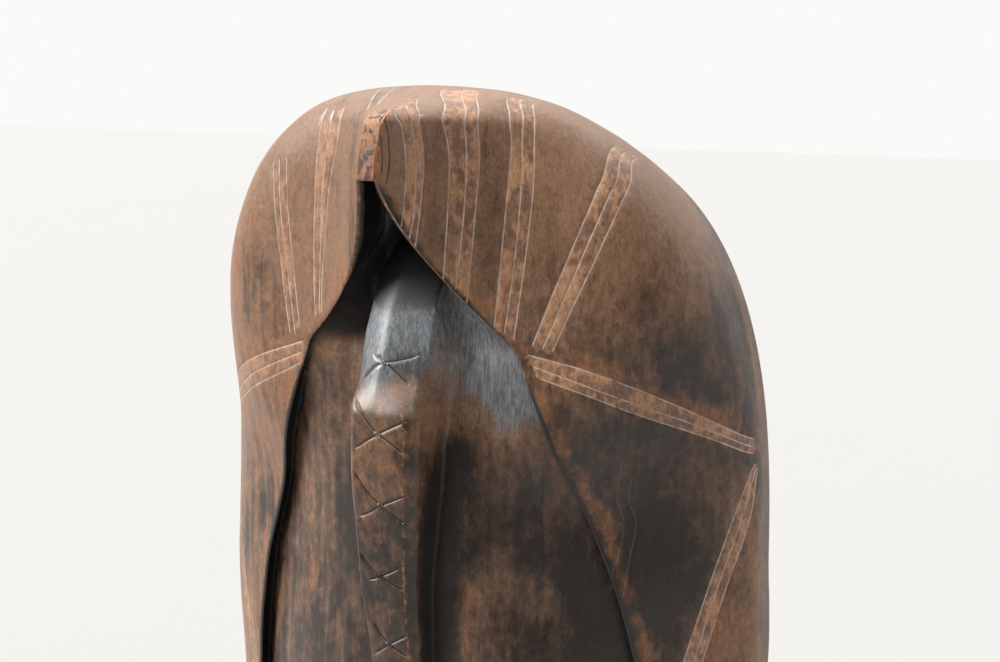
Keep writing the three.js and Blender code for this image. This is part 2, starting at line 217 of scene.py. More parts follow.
# Lower half of the face, in the carver's calm style: (x, height) of each feature.
EYE = (51, 239)
EYE_HALF = (27, 11)
MOUTH = (0, 109)


def features(x, height):
    """Relief of lids, brow, lips, cheeks and chin over the bare face."""
    ax = np.abs(x)
    ex = (ax - EYE[0]) / EYE_HALF[0]
    eh = (height - EYE[1] - 3 * (1 - ex ** 2)) / EYE_HALF[1]
    lid = np.clip(1 - ex ** 2 - eh ** 2, 0, None) ** 0.6
    socket = spot(ax, height, (46, 243), (36, 25))
    lips = 0
    for centre, half_height, lift, half in ((116.5, 7.2, 7.0, 26), (103, 8.0, 8.0, 23)):
        bow = centre + (2.2 * bell(ax, 0, 5) * -1 + 2.0 * bell(ax, 8, 6) if centre > 110 else 0)
        lx, lh = ax / half, (height - bow) / (half_height * np.clip(1 - (ax / half) ** 2, 0.02, 1) ** 0.5)
        swell = np.clip(1 - lx ** 2, 0, None) ** 0.5 * np.clip(1 - lh ** 2, 0, None) ** 0.5
        lips = np.maximum(lips, lift * swell)
    muzzle = 7 * spot(ax, height, (0, 112), (34, 26))
    chin = 8 * spot(ax, height, (0, 52), (26, 24))
    cheek = 5 * spot(ax, height, (58, 175), (30, 34))
    return 8.5 * lid - 7 * socket + lips + muzzle + chin + cheek


def face_depth(x, height):
    angle = np.arctan2(height - WIDEST, x)
    radius = block_radius(angle)
    share = np.clip(np.hypot(x, height - WIDEST) / (radius * edge_share(angle)), 0, 1)
    edge_height = WIDEST + edge_share(angle) * radius * np.sin(angle)
    above = height > WIDEST
    half = np.maximum(opening_half(height), 0.5)
    sideways = np.clip(np.where(above, np.abs(x) / half, share), 0, 1)
    centre = through(FACE_CENTRE, height)
    step = step_depth(np.where(above, height, edge_height))
    side = np.where(above, depth_over(half, height), hood_depth(edge_share(angle), angle))
    foot = np.minimum(side - step, centre + 40)
    bend = 2.2 + 1.3 * smooth(0, 1, -np.sin(angle))
    quiet = smooth(1.0, 0.8, share)
    return centre + (foot - centre) * sideways ** bend + features(x, height) * quiet


# ---- triangulated sheets

def run_along(points):
    """Distance from the first point to each point of a polyline."""
    return np.concatenate([[0], np.cumsum(np.linalg.norm(np.diff(points, axis=0), axis=1))])


def unit(vectors):
    return vectors / np.linalg.norm(vectors, axis=1, keepdims=True)


def resample(points, spacing, closed=False):
    """Points spread evenly along a polyline of any dimension."""
    if closed:
        points = np.vstack([points, points[:1]])
    run = run_along(points)
    count = max(2, int(round(run[-1] / spacing)))
    at = np.linspace(0, run[-1], count + 1)
    out = np.stack([np.interp(at, run, points[:, k]) for k in range(points.shape[1])], 1)
    return out[:-1] if closed else out


def inside(polygon, points):
    """Which points lie inside a closed polygon."""
    result = np.zeros(len(points), bool)
    a, b = polygon, np.roll(polygon, -1, axis=0)
    for (ax, ay), (bx, by) in zip(a, b):
        crosses = (ay > points[:, 1]) != (by > points[:, 1])
        if by != ay:
            result ^= crosses & (points[:, 0] < (bx - ax) * (points[:, 1] - ay) / (by - ay) + ax)
    return result


def away_from(points, others, gap):
    """Keeps the points that are further than gap from all others, by marking small cells."""
    cell = gap / 4
    low = np.minimum(points.min(0), others.min(0)) - 3 * gap
    high = np.maximum(points.max(0), others.max(0)) + 3 * gap
    size = np.ceil((high - low) / cell).astype(int) + 1
    marked = np.zeros(size, bool)
    ij = ((others - low) / cell).astype(int)
    reach = int(round(gap / cell))
    for dx in range(-reach, reach + 1):
        for dy in range(-reach, reach + 1):
            if dx * dx + dy * dy <= reach * reach:
                marked[ij[:, 0] + dx, ij[:, 1] + dy] = True
    ij = ((points - low) / cell).astype(int)
    return points[~marked[ij[:, 0], ij[:, 1]]]


def hex_grid(low, high, spacing):
    rows = np.arange(low[1], high[1], spacing * 0.866)
    grid = [np.stack([np.arange(low[0] + (k % 2) * spacing / 2, high[0], spacing),
                      np.full(len(np.arange(low[0] + (k % 2) * spacing / 2, high[0], spacing)), y)], 1)
            for k, y in enumerate(rows)]
    points = np.vstack(grid)
    return points + RANDOM.uniform(-0.12, 0.12, points.shape) * spacing


def triangulate(loops, rows, fill):
    """Delaunay triangles of a flat region. loops are closed, rows are open constraints
    (kept only inside the region, so that they never split a loop), fill is loose points.
    Returns the points, the triangles and the index of each loop's points."""
    points, edges, loop_ids = [], [], []
    for loop in loops:
        first = len(points)
        points += [tuple(p) for p in loop]
        edges += [(first + i, first + (i + 1) % len(loop)) for i in range(len(loop))]
        loop_ids.append(np.arange(first, first + len(loop)))
    for row in rows:
        first = len(points)
        held = inside(np.asarray(loops[0]), np.asarray(row))
        for hole in loops[1:]:
            held &= ~inside(np.asarray(hole), np.asarray(row))
        points += [tuple(p) for p in row]
        edges += [(first + i, first + i + 1) for i in range(len(row) - 1) if held[i] and held[i + 1]]
    points += [tuple(p) for p in fill]
    out, _, faces, origin, _, _ = delaunay_2d_cdt([Vector(p) for p in points], edges, [], 0, 1e-7)
    place = np.full(len(points), -1)
    for new, old in enumerate(origin):
        for o in old:
            place[o] = new
    out = np.array([tuple(p) for p in out])
    faces = np.array([f for f in faces if len(f) == 3])
    centres = out[faces].mean(1)
    keep = inside(np.asarray(loops[0]), centres)
    for hole in loops[1:]:
        keep &= ~inside(np.asarray(hole), centres)
    return out, faces[keep], [place[ids] for ids in loop_ids], place


class Shell:
    """Collects pieces of the mask's skin and the marks painted or cut on each vertex."""

    # The stain, ink, wear and tone marks also carry painted shade, shadow and highlight, besides the wood's
    # own colour.
    marks = ("line", "band", "dot", "ink", "stain", "blue", "raw", "wear", "streaks", "back", "tone", "glow")

    def __init__(self):
        self.points, self.faces, self.data, self.count = [], [], {m: [] for m in self.marks}, 0

    def add(self, points, faces, **marks):
        """Adds points (x, height, depth) and faces; returns the new points' indices."""
        points = np.asarray(points, float)
        ids = np.arange(self.count, self.count + len(points))
        self.points.append(points)
        if len(faces):
            self.faces.append(np.asarray(faces) + self.count)
        for name in self.marks:
            value = marks.get(name, 0.0)
            self.data[name].append(np.broadcast_to(value, len(points)).astype(float))
        self.count += len(points)
        return ids

    def strip(self, a, b):
        """Triangles between two closed rings of the same length."""
        i = np.arange(len(a))
        j = (i + 1) % len(a)
        self.faces.append(np.stack([a[i], a[j], b[j]], 1))
        self.faces.append(np.stack([a[i], b[j], b[i]], 1))

    def arrays(self):
        points = np.vstack(self.points)
        faces = np.vstack(self.faces)
        return points, faces, {m: np.concatenate(v) for m, v in self.data.items()}


# Spacing of the mesh's inner points, coarse and fine, and of the points along a cut in the face.
HOOD_GRID, FACE_GRID, BACK_GRID = (2.75, 1.45), (2.5, 1.25), (3.6, 1.9)
CUT_SPACING = 1.1


class Rows:
    """Lines that the mesh has to follow, with the cut depth, pale mark and ink (with painted shade along the
    groove) at each point.
    """

    def __init__(self):
        self.lines, self.values = [], []

    def keep(self, line, depth=0, mark=0, ink=0):
        self.lines.append(line)
        self.values.append([np.zeros(len(line)) + value for value in (depth, mark, ink)])

    def spread(self, place, count):
        """The three values at every point of the mesh; place gives the lines' points in the mesh."""
        total = np.zeros((3, count))
        start = 0
        for line, values in zip(self.lines, self.values):
            at = place[start:start + len(line)]
            for marks, value in zip(total, values):
                marks[at] = np.maximum(marks[at], value)
            start += len(line)
        return total


# ---- cut lines on the hood

# Each band is three knife lines, given in plan as lists of (x, height).
RIGHT_BANDS = [
    [[(8.0, 533), (12.4, 525.5), (12.8, 511), (12.4, 492), (11.2, 478)],
     [(8.7, 535), (14.8, 528.5), (15.6, 511), (15.4, 492), (13.4, 472.5)],
     [(8.7, 537.5), (17, 528.5), (17.8, 511), (17, 492), (15.3, 469)]],
    [[(10.3, 541.5), (22.5, 532.5), (25.9, 511), (25.7, 492), (24.3, 455)],
     [(19.1, 541.5), (30.5, 530.5), (32, 511), (31.5, 492), (28.5, 450)],
     [(25.8, 541.5), (35.1, 530.5), (36.7, 511), (35.8, 492), (32.8, 446)]],
    [[(41.3, 538.3), (47.2, 530), (49, 517.7), (48.5, 502), (46.9, 477.5), (43.6, 435.5)],
     [(46.4, 538.2), (52.8, 528.8), (53.5, 517.8), (53.9, 502), (52.8, 478), (47.9, 433.5)],
     [(52.6, 536.6), (57.3, 528.9), (58.6, 517.9), (59.1, 502), (57.5, 478), (51.9, 431)]],
    [[(87.9, 519.1), (88.7, 508.2), (85.9, 497), (77.8, 474.5), (68.8, 452), (59.9, 429)],
     [(91, 517), (93.7, 505.2), (90.9, 494.2), (82.8, 472.3), (73.6, 449.5), (64.4, 427.5)],
     [(94.1, 514.6), (98.4, 502.5), (96.1, 492), (88.1, 470.2), (78.7, 449), (69, 427)]],
    [[(57.3, 426), (82.4, 420.7), (104.3, 412.2), (130, 396.2), (140.2, 387.8)],
     [(60.1, 421), (82.8, 413.9), (104, 405.2), (130, 391.8), (140.4, 384.2)],
     [(62.9, 416), (83.3, 409.6), (103.9, 400.6), (130, 388.1), (140.6, 381)]],
    [[(141.1, 377), (137.8, 360.7), (126, 313.2), (118.9, 288), (109.2, 247.5)],
     [(141.3, 375), (139.8, 360.2), (129.3, 313.2), (122.6, 287.8), (111.2, 240.5)],
     [(141.5, 373), (141.3, 359.7), (132.3, 313.2), (125.6, 287.6), (112.6, 233.5)]],
    [[(112.1, 240.5), (118.1, 213.5), (126, 192.5)], [(112.9, 229.5), (118.3, 208.5), (124.8, 189.5)],
     [(114.2, 219.5), (118.8, 203.5), (123.7, 187)]],
]
LEFT_BANDS = [
    [[(-49.4, 532.5), (-51.2, 521), (-52.3, 476), (-50.8, 435)],
     [(-43.9, 532), (-44.6, 521), (-47.6, 487), (-48, 436)],
     [(-37.3, 533), (-37.6, 521), (-42.9, 490), (-46.4, 447.5), (-46.4, 437)]],
    [[(-80, 506.7), (-76.9, 483.6), (-69.8, 443.6), (-66.1, 426.3)],
     [(-76.1, 508.3), (-73, 480.5), (-66.3, 443.8), (-63, 425.4)],
     [(-71.2, 509.4), (-69.1, 486.4), (-63.6, 449.7), (-60.5, 430.3)]],
    [[(-56.9, 424.7), (-79.2, 417.7), (-100.9, 409.8), (-122, 399.5), (-134.2, 391)],
     [(-58.1, 419.6), (-76, 412.6), (-100.6, 402.5), (-123, 392), (-134.8, 385.5)],
     [(-58.1, 414.9), (-74.4, 407.4), (-96.5, 398.2), (-122, 387.2), (-135.4, 380)]],
]
for band in RIGHT_BANDS[-2:]:
    LEFT_BANDS.append([[(-x * HALF_LEFT / HALF_RIGHT, height) for x, height in line] for line in band])
BANDS = RIGHT_BANDS + LEFT_BANDS
CREST_LINES = [[(-25.4, 542), (-23.6, 538), (-17.3, 531.5)], [(-17.5, 542.5), (-15.5, 538), (-12, 533.5)]]
KEEL_LINES = [[(6.4, 531), (6.9, 522), (6.8, 513), (6.3, 503)],
              [(7.4, 533), (8.8, 522), (8.4, 510), (7.5, 499)]]
CRACKS = [[(97, 430), (95.8, 420), (97.2, 409), (96.4, 396)],
          [(94, 389), (95.6, 377), (92.8, 362), (95.4, 350), (92, 331), (89.5, 322)],
          [(99.5, 373), (97.4, 362), (100.2, 350), (98, 335), (95, 315)]]
GROOVE_LINE = -0.8
GROOVE_TOP = 424
DOT_PITCH = 9.0
DOT_RADIUS = 1.9
CUT_OFFSETS = (-0.55, -0.25, 0.0, 0.25, 0.55)
CUT_DEPTHS = (0.0, 0.13, 0.24, 0.13, 0.0)
CUT_MARKS = (0.0, 0.75, 1.0, 0.75, 0.0)
LAST_SHARE = 0.9993


def plan_to_hood(plan):
    """Share and angle of plan points."""
    x, height = plan[:, 0], plan[:, 1]
    angle = np.arctan2(height - WIDEST, x)
    share = np.hypot(x, height - WIDEST) / block_radius(angle)
    return share, angle


def offset_on(share, angle, sideways):
    """Moves a line's points sideways across the hood's surface by a true distance."""
    e = 1e-4
    here = hood_point(share, angle)
    by_share = (hood_point(share + e, angle) - here) / e
    by_angle = (hood_point(share, angle + e) - here) / e
    along = unit(np.gradient(here, axis=0))
    normal = unit(np.cross(by_share, by_angle))
    want = np.cross(normal, along) * sideways[:, None]
    a, b, c = (by_share ** 2).sum(1), (by_share * by_angle).sum(1), (by_angle ** 2).sum(1)
    u, v = (by_share * want).sum(1), (by_angle * want).sum(1)
    det = a * c - b * b
    return share + (c * u - b * v) / det, angle + (a * v - b * u) / det


# Ribs of the hood, unrolled: distance over the surface from the middle of the mask.
RIB_ANGLES = np.radians(np.linspace(-180, 180, 721))
RIB_SHARES = np.concatenate([np.linspace(0, 0.9, 61), 1 - 0.1 * np.linspace(1, 0, 61)[1:] ** 2])
RIB_POINTS = hood_point(RIB_SHARES[None, :], RIB_ANGLES[:, None])
RIB_STEPS = np.linalg.norm(np.diff(RIB_POINTS, axis=1), axis=2)
RIB_RUNS = np.concatenate([np.zeros((len(RIB_ANGLES), 1)), np.cumsum(RIB_STEPS, axis=1)], 1)


def unroll(share, angle):
    turned = (angle + np.pi) % (2 * np.pi) - np.pi
    place = (turned + np.pi) / (2 * np.pi) * 720
    i = np.clip(place.astype(int), 0, 719)
    t = place - i
    j = np.clip(np.searchsorted(RIB_SHARES, share) - 1, 0, len(RIB_SHARES) - 2)
    k = (share - RIB_SHARES[j]) / (RIB_SHARES[j + 1] - RIB_SHARES[j])
    low = RIB_RUNS[i, j] * (1 - k) + RIB_RUNS[i, j + 1] * k
    high = RIB_RUNS[i + 1, j] * (1 - k) + RIB_RUNS[i + 1, j + 1] * k
    run = low * (1 - t) + high * t
    return np.stack([run * np.cos(angle), run * np.sin(angle)], -1)


def roll_back(flat):
    """Share and angle of unrolled points."""
    angle = np.arctan2(flat[:, 1], flat[:, 0])
    run = np.hypot(flat[:, 0], flat[:, 1])
    place = (angle + np.pi) / (2 * np.pi) * 720
    i = np.clip(place.astype(int), 0, 719)
    t = (place - i)[:, None]
    ribs = RIB_RUNS[i] * (1 - t) + RIB_RUNS[i + 1] * t
    j = np.clip((ribs < run[:, None]).sum(1) - 1, 0, ribs.shape[1] - 2)
    rows = np.arange(len(run))
    k = (run - ribs[rows, j]) / (ribs[rows, j + 1] - ribs[rows, j])
    return RIB_SHARES[j] + k * (RIB_SHARES[j + 1] - RIB_SHARES[j]), angle


def smooth_path(points, spacing):
    """A few plan points joined by a smooth curve and sampled evenly."""
    points = np.array(points, float)
    run = run_along(points)
    fine = np.linspace(0, run[-1], 80)
    curve = np.stack([through(list(zip(run, points[:, k])), fine) for k in (0, 1)], 1)
    return resample(curve, spacing)


def mirrored(lines):
    return lines + [[(-x, h) for x, h in line] for line in lines]


def cut_rows(line, offsets, depths, marks, spacing=1.9):
    """Constraint rows of one V-shaped cut on the hood, with the depth and mark of each row."""
    plan = smooth_path(line, 0.15)
    share, angle = plan_to_hood(plan)
    share, angle = share[share < LAST_SHARE], np.unwrap(angle[share < LAST_SHARE])
    surface = hood_point(share, angle)
    run = run_along(surface)
    at = np.linspace(0, run[-1], max(3, int(run[-1] / spacing)))
    share, angle = np.interp(at, run, share), np.interp(at, run, angle)
    count = np.arange(len(share))
    ends = np.clip(np.minimum(count, count[::-1]) / 1.5, 0, 1)
    rows = []
    for offset, depth, mark in zip(offsets, depths, marks):
        s, a = offset_on(share, angle, offset * (0.3 + 0.7 * ends))
        rows.append((unroll(np.clip(s, 0, 0.99995), a), depth * ends, mark * (ends > 0)))
    return rows


def band_dots():
    """Middle points of the small scorched dots between the knife lines, on the surface of the hood."""
    dots = []
    for lines in BANDS:
        for one, other in zip(lines[:-1], lines[1:]):
            a, b = smooth_path(one, 0.5), smooth_path(other, 0.5)
            at = np.linspace(0, 1, 400)
            middle = np.stack([np.interp(at, np.linspace(0, 1, len(a)), a[:, k])
                               + np.interp(at, np.linspace(0, 1, len(b)), b[:, k]) for k in (0, 1)], 1) / 2
            share, angle = plan_to_hood(middle)
            surface = hood_point(np.clip(share, 0, 1), np.unwrap(angle))
            run = run_along(surface)
            wanted = np.arange(DOT_PITCH * RANDOM.uniform(0.4, 0.9), run[-1] - 3, DOT_PITCH)
            wanted = wanted + RANDOM.uniform(-1.6, 1.6, len(wanted))
            dots += [[np.interp(w, run, surface[:, k]) for k in range(3)] for w in wanted]
    return np.array(dots)


def nearest_distance(points, targets):
    tree = KDTree(len(targets))
    for i, target in enumerate(targets):
        tree.insert(target, i)
    tree.balance()
    return np.array([tree.find(p)[2] for p in points])


# ---- hood

def inside_band(plan, lines):
    """Whether plan points lie between the outer lines of a band."""
    first, last = smooth_path(lines[0], 2.0), smooth_path(lines[-1], 2.0)
    return inside(np.vstack([first, last[::-1]]), plan)


def plan_of(share, angle):
    reach = share * block_radius(angle)
    return np.stack([reach * np.cos(angle), WIDEST + reach * np.sin(angle)], -1)


def spread_round(points, angles, spacing):
    """Angles of points spread evenly along a whole turn."""
    run = run_along(points)
    count = int(round(run[-1] / spacing))
    return np.interp(np.linspace(0, run[-1], count + 1)[:-1], run, angles)


def opening_loop():
    """The hood's edge and the groove as one closed loop of angles, starting at the apex."""
    angles = np.radians(90 + np.linspace(0, 360, 14401))
    angles = spread_round(hood_point(opening_share(angles), angles), angles, 2.05)
    corners = np.array([(5.0, 502.0), (-5.0, 502.0), (53.8, 426.0), (-53.8, 426.0)])
    wanted = np.arctan2(corners[:, 1] - WIDEST, corners[:, 0])
    for want in wanted:
        gap = np.abs((angles - want + np.pi) % (2 * np.pi) - np.pi)
        angles[np.argmin(gap)] = want
    return angles, opening_share(angles)


def in_bands(flat):
    """Whether unrolled points lie in one of the bands."""
    share, angle = roll_back(flat)
    return band_mark(plan_of(share, angle)) > 0


def band_mark(plan):
    result = np.zeros(len(plan))
    for lines in BANDS:
        result[inside_band(plan, lines)] = 1
    return result


def hood_tone_and_shading(x, height):
    """Darker (below 0) and lighter (above 0) parts of the hood: cheek patches left by the old polish and
    handling, a crown lighter partly from the wood and partly as painted light, and painted light and shade
    that make the left side lighter and the right side darker.
    """
    ax, right = np.abs(x), smooth(-20, 40, x)
    tone = -1.0 * (0.35 + 0.65 * right) * spot(ax, height, (97, 342), (26, 42))
    tone -= 1.3 * right * spot(ax, height, (95, 282), (24, 36))
    tone -= 0.55 * bell(ax, 41.5, 5.5) * smooth(440, 475, height)
    tone -= 0.5 * bell(ax, 21.5, 4) * smooth(450, 475, height) * smooth(545, 525, height)
    # Painted shade and light: the far right and the right below the crown darker, the left side lighter.
    tone -= 0.6 * right * spot(ax, height, (122, 432), (18, 50))
    tone += 0.1 * smooth(-45, -90, x)
    tone -= 0.4 * smooth(25, 70, x) * smooth(500, 460, height)
    tone += 0.35 * smooth(-12, -40, x) * smooth(385, 425, height)
    # Crown lighter, partly the wood's own colour and partly painted light from above.
    return tone + 0.75 * smooth(425, 480, height)


def hood_glow(x, height):
    """Parts of the hood rubbed through to the orange-brown wood."""
    ax = np.abs(x)
    beside = ax - opening_half(height)
    edge = 0.7 * bell(beside, 5, 4.5) * smooth(215, 250, height) * smooth(500, 470, height)
    above_band = height - (421 - 0.0052 * (ax - 60) ** 2)
    along = 0.75 * bell(above_band, 0, 13) * smooth(55, 70, ax)
    outer = 0.75 * smooth(-2, 3, ax - 122 - 0.236 * (height - 287.5))
    outer = outer * smooth(384, 370, height) * smooth(190, 240, height)
    keel = bell(ax, 5, 3.5) * smooth(495, 503, height)
    cheek = 0.6 * smooth(-45, -75, x) * smooth(330, 370, height) * smooth(505, 470, height)
    return np.maximum.reduce([edge, along, outer, keel, cheek])


def hood_rows(edge_share_, edge_angle):
    """Knife lines, cracks, groove and keel sides, unrolled."""
    rows = Rows()

    def draw(lines, offsets, cut_depths, cut_marks, light, dark):
        for line in lines:
            for flat, depth, mark in cut_rows(line, offsets, cut_depths, cut_marks):
                rows.keep(flat, depth, mark * light, mark * dark)

    draw(sum(BANDS, []) + CREST_LINES, CUT_OFFSETS, CUT_DEPTHS, CUT_MARKS, 1.0, 0.0)
    draw(mirrored(KEEL_LINES), CUT_OFFSETS, CUT_DEPTHS, CUT_MARKS, 0.0, 0.75)
    draw(CRACKS, (-0.3, 0.0, 0.3), (0.0, 0.15, 0.0), (0.0, 1.0, 0.0), 0.62, 0.0)
    groove = plan_of(edge_share_, edge_angle)[:, 1] < GROOVE_TOP
    first = int(np.argmax(groove))
    last = len(groove) - int(np.argmax(groove[::-1]))
    share, angle = edge_share_[first:last], np.unwrap(edge_angle[first:last])
    share, angle = offset_on(share, angle, np.full(len(share), GROOVE_LINE))
    # Ink and painted shade along the groove, darker below the corner.
    rows.keep(unroll(share, angle), ink=0.8 * smooth(GROOVE_TOP, 395, plan_of(share, angle)[:, 1]))
    heights = np.linspace(504.5, 536, 16)
    for side in (-1, 1):
        for half in (KEEL_HALF + 0.05, KEEL_HALF - 0.5):
            side_line = np.column_stack([keel_middle(heights) + side * half, heights])
            rows.keep(unroll(*plan_to_hood(side_line)))
    return rows


def build_hood(shell):
    rim_fine = np.radians(np.linspace(-180, 180, 7201))
    rim = spread_round(hood_point(np.ones(7201), rim_fine), rim_fine, 2.9)
    edge_angle, edge_share_ = opening_loop()
    loops = [unroll(np.ones(len(rim)), rim), unroll(edge_share_, edge_angle)]
    rows = hood_rows(edge_share_, edge_angle)
    low, high = loops[0].min(0), loops[0].max(0)
    fill = hex_grid(low, high, HOOD_GRID[0])
    fill = fill[~in_bands(fill)]
    dense = hex_grid(low, high, HOOD_GRID[1])
    fill = np.vstack([fill, dense[in_bands(dense)]])
    fill = fill[inside(loops[0], fill) & ~inside(loops[1], fill)]
    fill = away_from(fill, np.vstack(loops), 1.3)
    fill = away_from(fill, np.vstack(rows.lines), 0.95)
    flat, faces, ids, place = triangulate(loops, rows.lines, fill)
    share, angle = roll_back(flat)
    share[ids[0]], angle[ids[0]] = 1.0, rim
    share[ids[1]], angle[ids[1]] = edge_share_, edge_angle
    points = hood_point(share, angle)
    cut, line, ink = rows.spread(place[len(np.vstack(loops)):], len(points))
    plan = plan_of(share, angle)
    band = np.maximum(band_mark(plan), (line > 0.7) * 0.8) * np.where(plan[:, 0] < 0, 0.55, 1.0)
    dot = bell(nearest_distance(points, band_dots()), 0, DOT_RADIUS) * (0.5 + 0.5 * waves(points, 16, 12))
    dot *= band * smooth(0.9, 0.5, line)
    normal = surface_normals(points, faces)
    fixed = np.zeros(len(points))
    fixed[ids[0]] = 1
    sway = 0.5 * waves(points, 46, 1) + 0.28 * waves(points, 21, 2)
    points = points + normal * ((sway * (1 - fixed)) - cut)[:, None]
    off_keel = np.abs(plan[:, 0] - keel_middle(plan[:, 1]))
    keel_top = 534 - 5 * np.clip(off_keel / KEEL_HALF, 0, 1) ** 3
    keel_front = (off_keel < KEEL_HALF - 0.2) & (plan[:, 1] > 502) & (plan[:, 1] < keel_top)
    points[:, 2] += np.where(keel_front, 0.35 * waves(points, 3.5, 5), 0)
    wear = smooth(536, 529, plan[:, 1]) * bell(off_keel, KEEL_HALF, 0.9) * (plan[:, 1] > 502)
    raw = keel_front * smooth(535, 530, plan[:, 1])
    # Ink and painted shade on the hood's edge along the groove.
    ink[ids[1]] = np.maximum(ink[ids[1]], 0.9 * smooth(GROOVE_TOP, 405, plan[ids[1], 1]))
    from_edge = np.abs(plan[:, 0]) - opening_half(plan[:, 1])
    lip = 0.7 * smooth(3.6, 1.0, from_edge) * (plan[:, 0] > 0)
    lip = lip * smooth(422, 434, plan[:, 1]) * smooth(506, 496, plan[:, 1])
    all_ids = shell.add(points, faces, line=line, band=band, dot=dot, ink=ink, raw=raw, wear=wear, stain=lip,
                        tone=hood_tone_and_shading(*plan.T), glow=hood_glow(*plan.T), streaks=smooth(30, -60, plan[:, 0]))
    shell.normals_at_edge = normal[ids[1]]
    return all_ids[ids[0]], all_ids[ids[1]], rim, edge_angle, edge_share_


def surface_normals(points, faces):
    """Area-weighted vertex normals, pointing out of the wood."""
    a, b, c = (points[faces[:, k]] for k in range(3))
    flat = np.cross(b - a, c - a)
    out = np.zeros_like(points)
    for k in range(3):
        np.add.at(out, faces[:, k], flat)
    out /= np.maximum(np.linalg.norm(out, axis=1, keepdims=True), 1e-9)
    return out * np.sign(np.sum(out[:, 2]))


def waves(points, size, seed):
    """Soft uneven swelling between about -1 and 1, with lumps of the given size."""
    shift = Vector((seed * 17.3, seed * 5.1, seed * 9.7))
    return np.array([noise.noise(Vector(p) / size + shift) for p in points])


# ---- lip and wall under the hood's edge

def loop_outward(plan):
    """Unit direction out of a closed loop, in its own plane, smoothed along the loop."""
    tangent = np.roll(plan, -1, axis=0) - np.roll(plan, 1, axis=0)
    out = unit(np.stack([tangent[:, 1], -tangent[:, 0]], 1))
    if inside(plan, plan + out).mean() > 0.5:
        out = -out
    for _ in range(2):
        out = unit(out + np.roll(out, 1, axis=0) + np.roll(out, -1, axis=0))
    return out


def build_lip(shell, edge_ids, angle, share):
    """Rounded edge of the hood and the wall under it; returns the ring of the wall's foot."""
    edge = np.vstack(shell.points)[edge_ids]
    plan = plan_of(share, angle)
    out = loop_outward(plan)
    height = plan[:, 1]
    step = step_depth(height)
    thick = np.minimum(1.3 + 2.4 * smooth(440, 480, height), 0.5 * step)
    normal = shell.normals_at_edge.copy()
    for _ in range(3):
        normal = unit(normal + np.roll(normal, 1, axis=0) + np.roll(normal, -1, axis=0))
    wobble = 1 + 0.22 * waves(edge, 9, 3)
    foot_plan = plan + out * (0.1 * step)[:, None]
    foot = np.column_stack([foot_plan, face_depth(foot_plan[:, 0], foot_plan[:, 1])])
    foot[:, 2] = np.minimum(foot[:, 2], edge[:, 2] - 0.9 * step)
    inward = np.column_stack([-out, np.zeros(len(out))])
    corner = edge - normal * (thick * wobble)[:, None]
    rings = [edge + inward * 0.35 - normal * 0.22,
             edge + inward * 0.5 - normal * (0.3 * thick)[:, None],
             corner + inward * 0.25 + normal * (0.2 * thick)[:, None],
             corner]
    for part in (0.22, 0.45, 0.7, 0.88):
        bulge = np.minimum(3.4, 0.12 * step) * math.sin(math.pi * part ** 0.8)
        rings.append(corner + (foot - corner) * part - inward * bulge[:, None])
    previous = edge_ids
    # Per ring: wear, stain and ink; the near-black down the wall under the hood's edge is partly stain and
    # partly painted shade.
    strength = [(0.75, 0.1, 0.9), (0.5, 0.45, 1.0), (0.1, 0.85, 0.7), (0.0, 1.0, 0.2)] + [(0, 1.0, 0.0)] * 4
    low_edge = smooth(424, 405, height)
    for ring, (wear, stain, ink) in zip(rings, strength):
        now = shell.add(ring, [], wear=wear * smooth(362, 400, height), stain=stain, ink=ink * low_edge)
        shell.strip(previous, now)
        previous = now
    shell.wall_top = previous
    return foot_plan, foot


# ---- face and nose

FLANK_STEPS = (0.0, 0.1, 0.24, 0.42, 0.66, 1.0)
FRONT_ENDS = (0.86, 0.70)
BEVEL_DROP = 2.5
ROOT_DROP = 5.5
RIDGE = -0.15
NOSE_STROKES = [
    [(-9.5, 422.6), (-2.4, 419.0), (5.1, 412.8), (9.0, 409.5)],
    [(-15.6, 411.2), (-5.8, 419.0), (4.1, 421.4), (11.0, 423.5)],
    [(-15.5, 403.0), (-8.9, 395.5), (-2.6, 389.5), (5.1, 384.6), (11.6, 380.0)],
    [(-14.0, 381.3), (-7.4, 385.6), (-0.8, 389.2), (11.5, 395.2)],
    [(-15.2, 370.7), (-8.9, 361.8), (-3.0, 356.5), (3.6, 351.6), (10.1, 347.6)],
    [(-14.9, 349.7), (-8.4, 352.4), (-3.1, 355.6), (3.9, 358.6), (11.4, 362.1)],
    [(-16.3, 332.7), (-11.4, 326.6), (-6.3, 322.5), (0.1, 319.0), (5.7, 316.3)],
    [(-12.3, 319.9), (-6.3, 322.2), (0.1, 325.2), (5.0, 328.0)],
    [(-11.5, 300.5), (-7.0, 294.0), (-1.5, 289.6), (6.0, 285.4)],
    [(-11.0, 285.5), (-6.0, 289.0), (-1.0, 292.0), (6.2, 296.0)],
    [(-10.0, 270.0), (-5.0, 263.5), (0.0, 259.4), (7.0, 255.2)],
    [(-10.0, 255.0), (-5.0, 258.4), (0.0, 261.5), (6.6, 265.0)],
    [(-9.4, 240.0), (-3.5, 233.6), (2.5, 229.6), (8.6, 225.0)],
    [(-9.6, 224.6), (-3.0, 228.3), (2.5, 231.4), (8.6, 235.0)],
]
STROKE_OFFSETS = (-0.95, -0.45, 0.0, 0.45, 0.95)
STROKE_DEPTHS = (0.0, 0.42, 0.8, 0.42, 0.0)


def nose_half(height):
    return (through(NOSE_RIGHT, height) - through(NOSE_LEFT, height)) / 2


def nose_middle(height):
    return (through(NOSE_RIGHT, height) + through(NOSE_LEFT, height)) / 2


def root_share(height):
    """0 down the blade of the nose, 1 on its rounded root."""
    return smooth(397, 413, height)


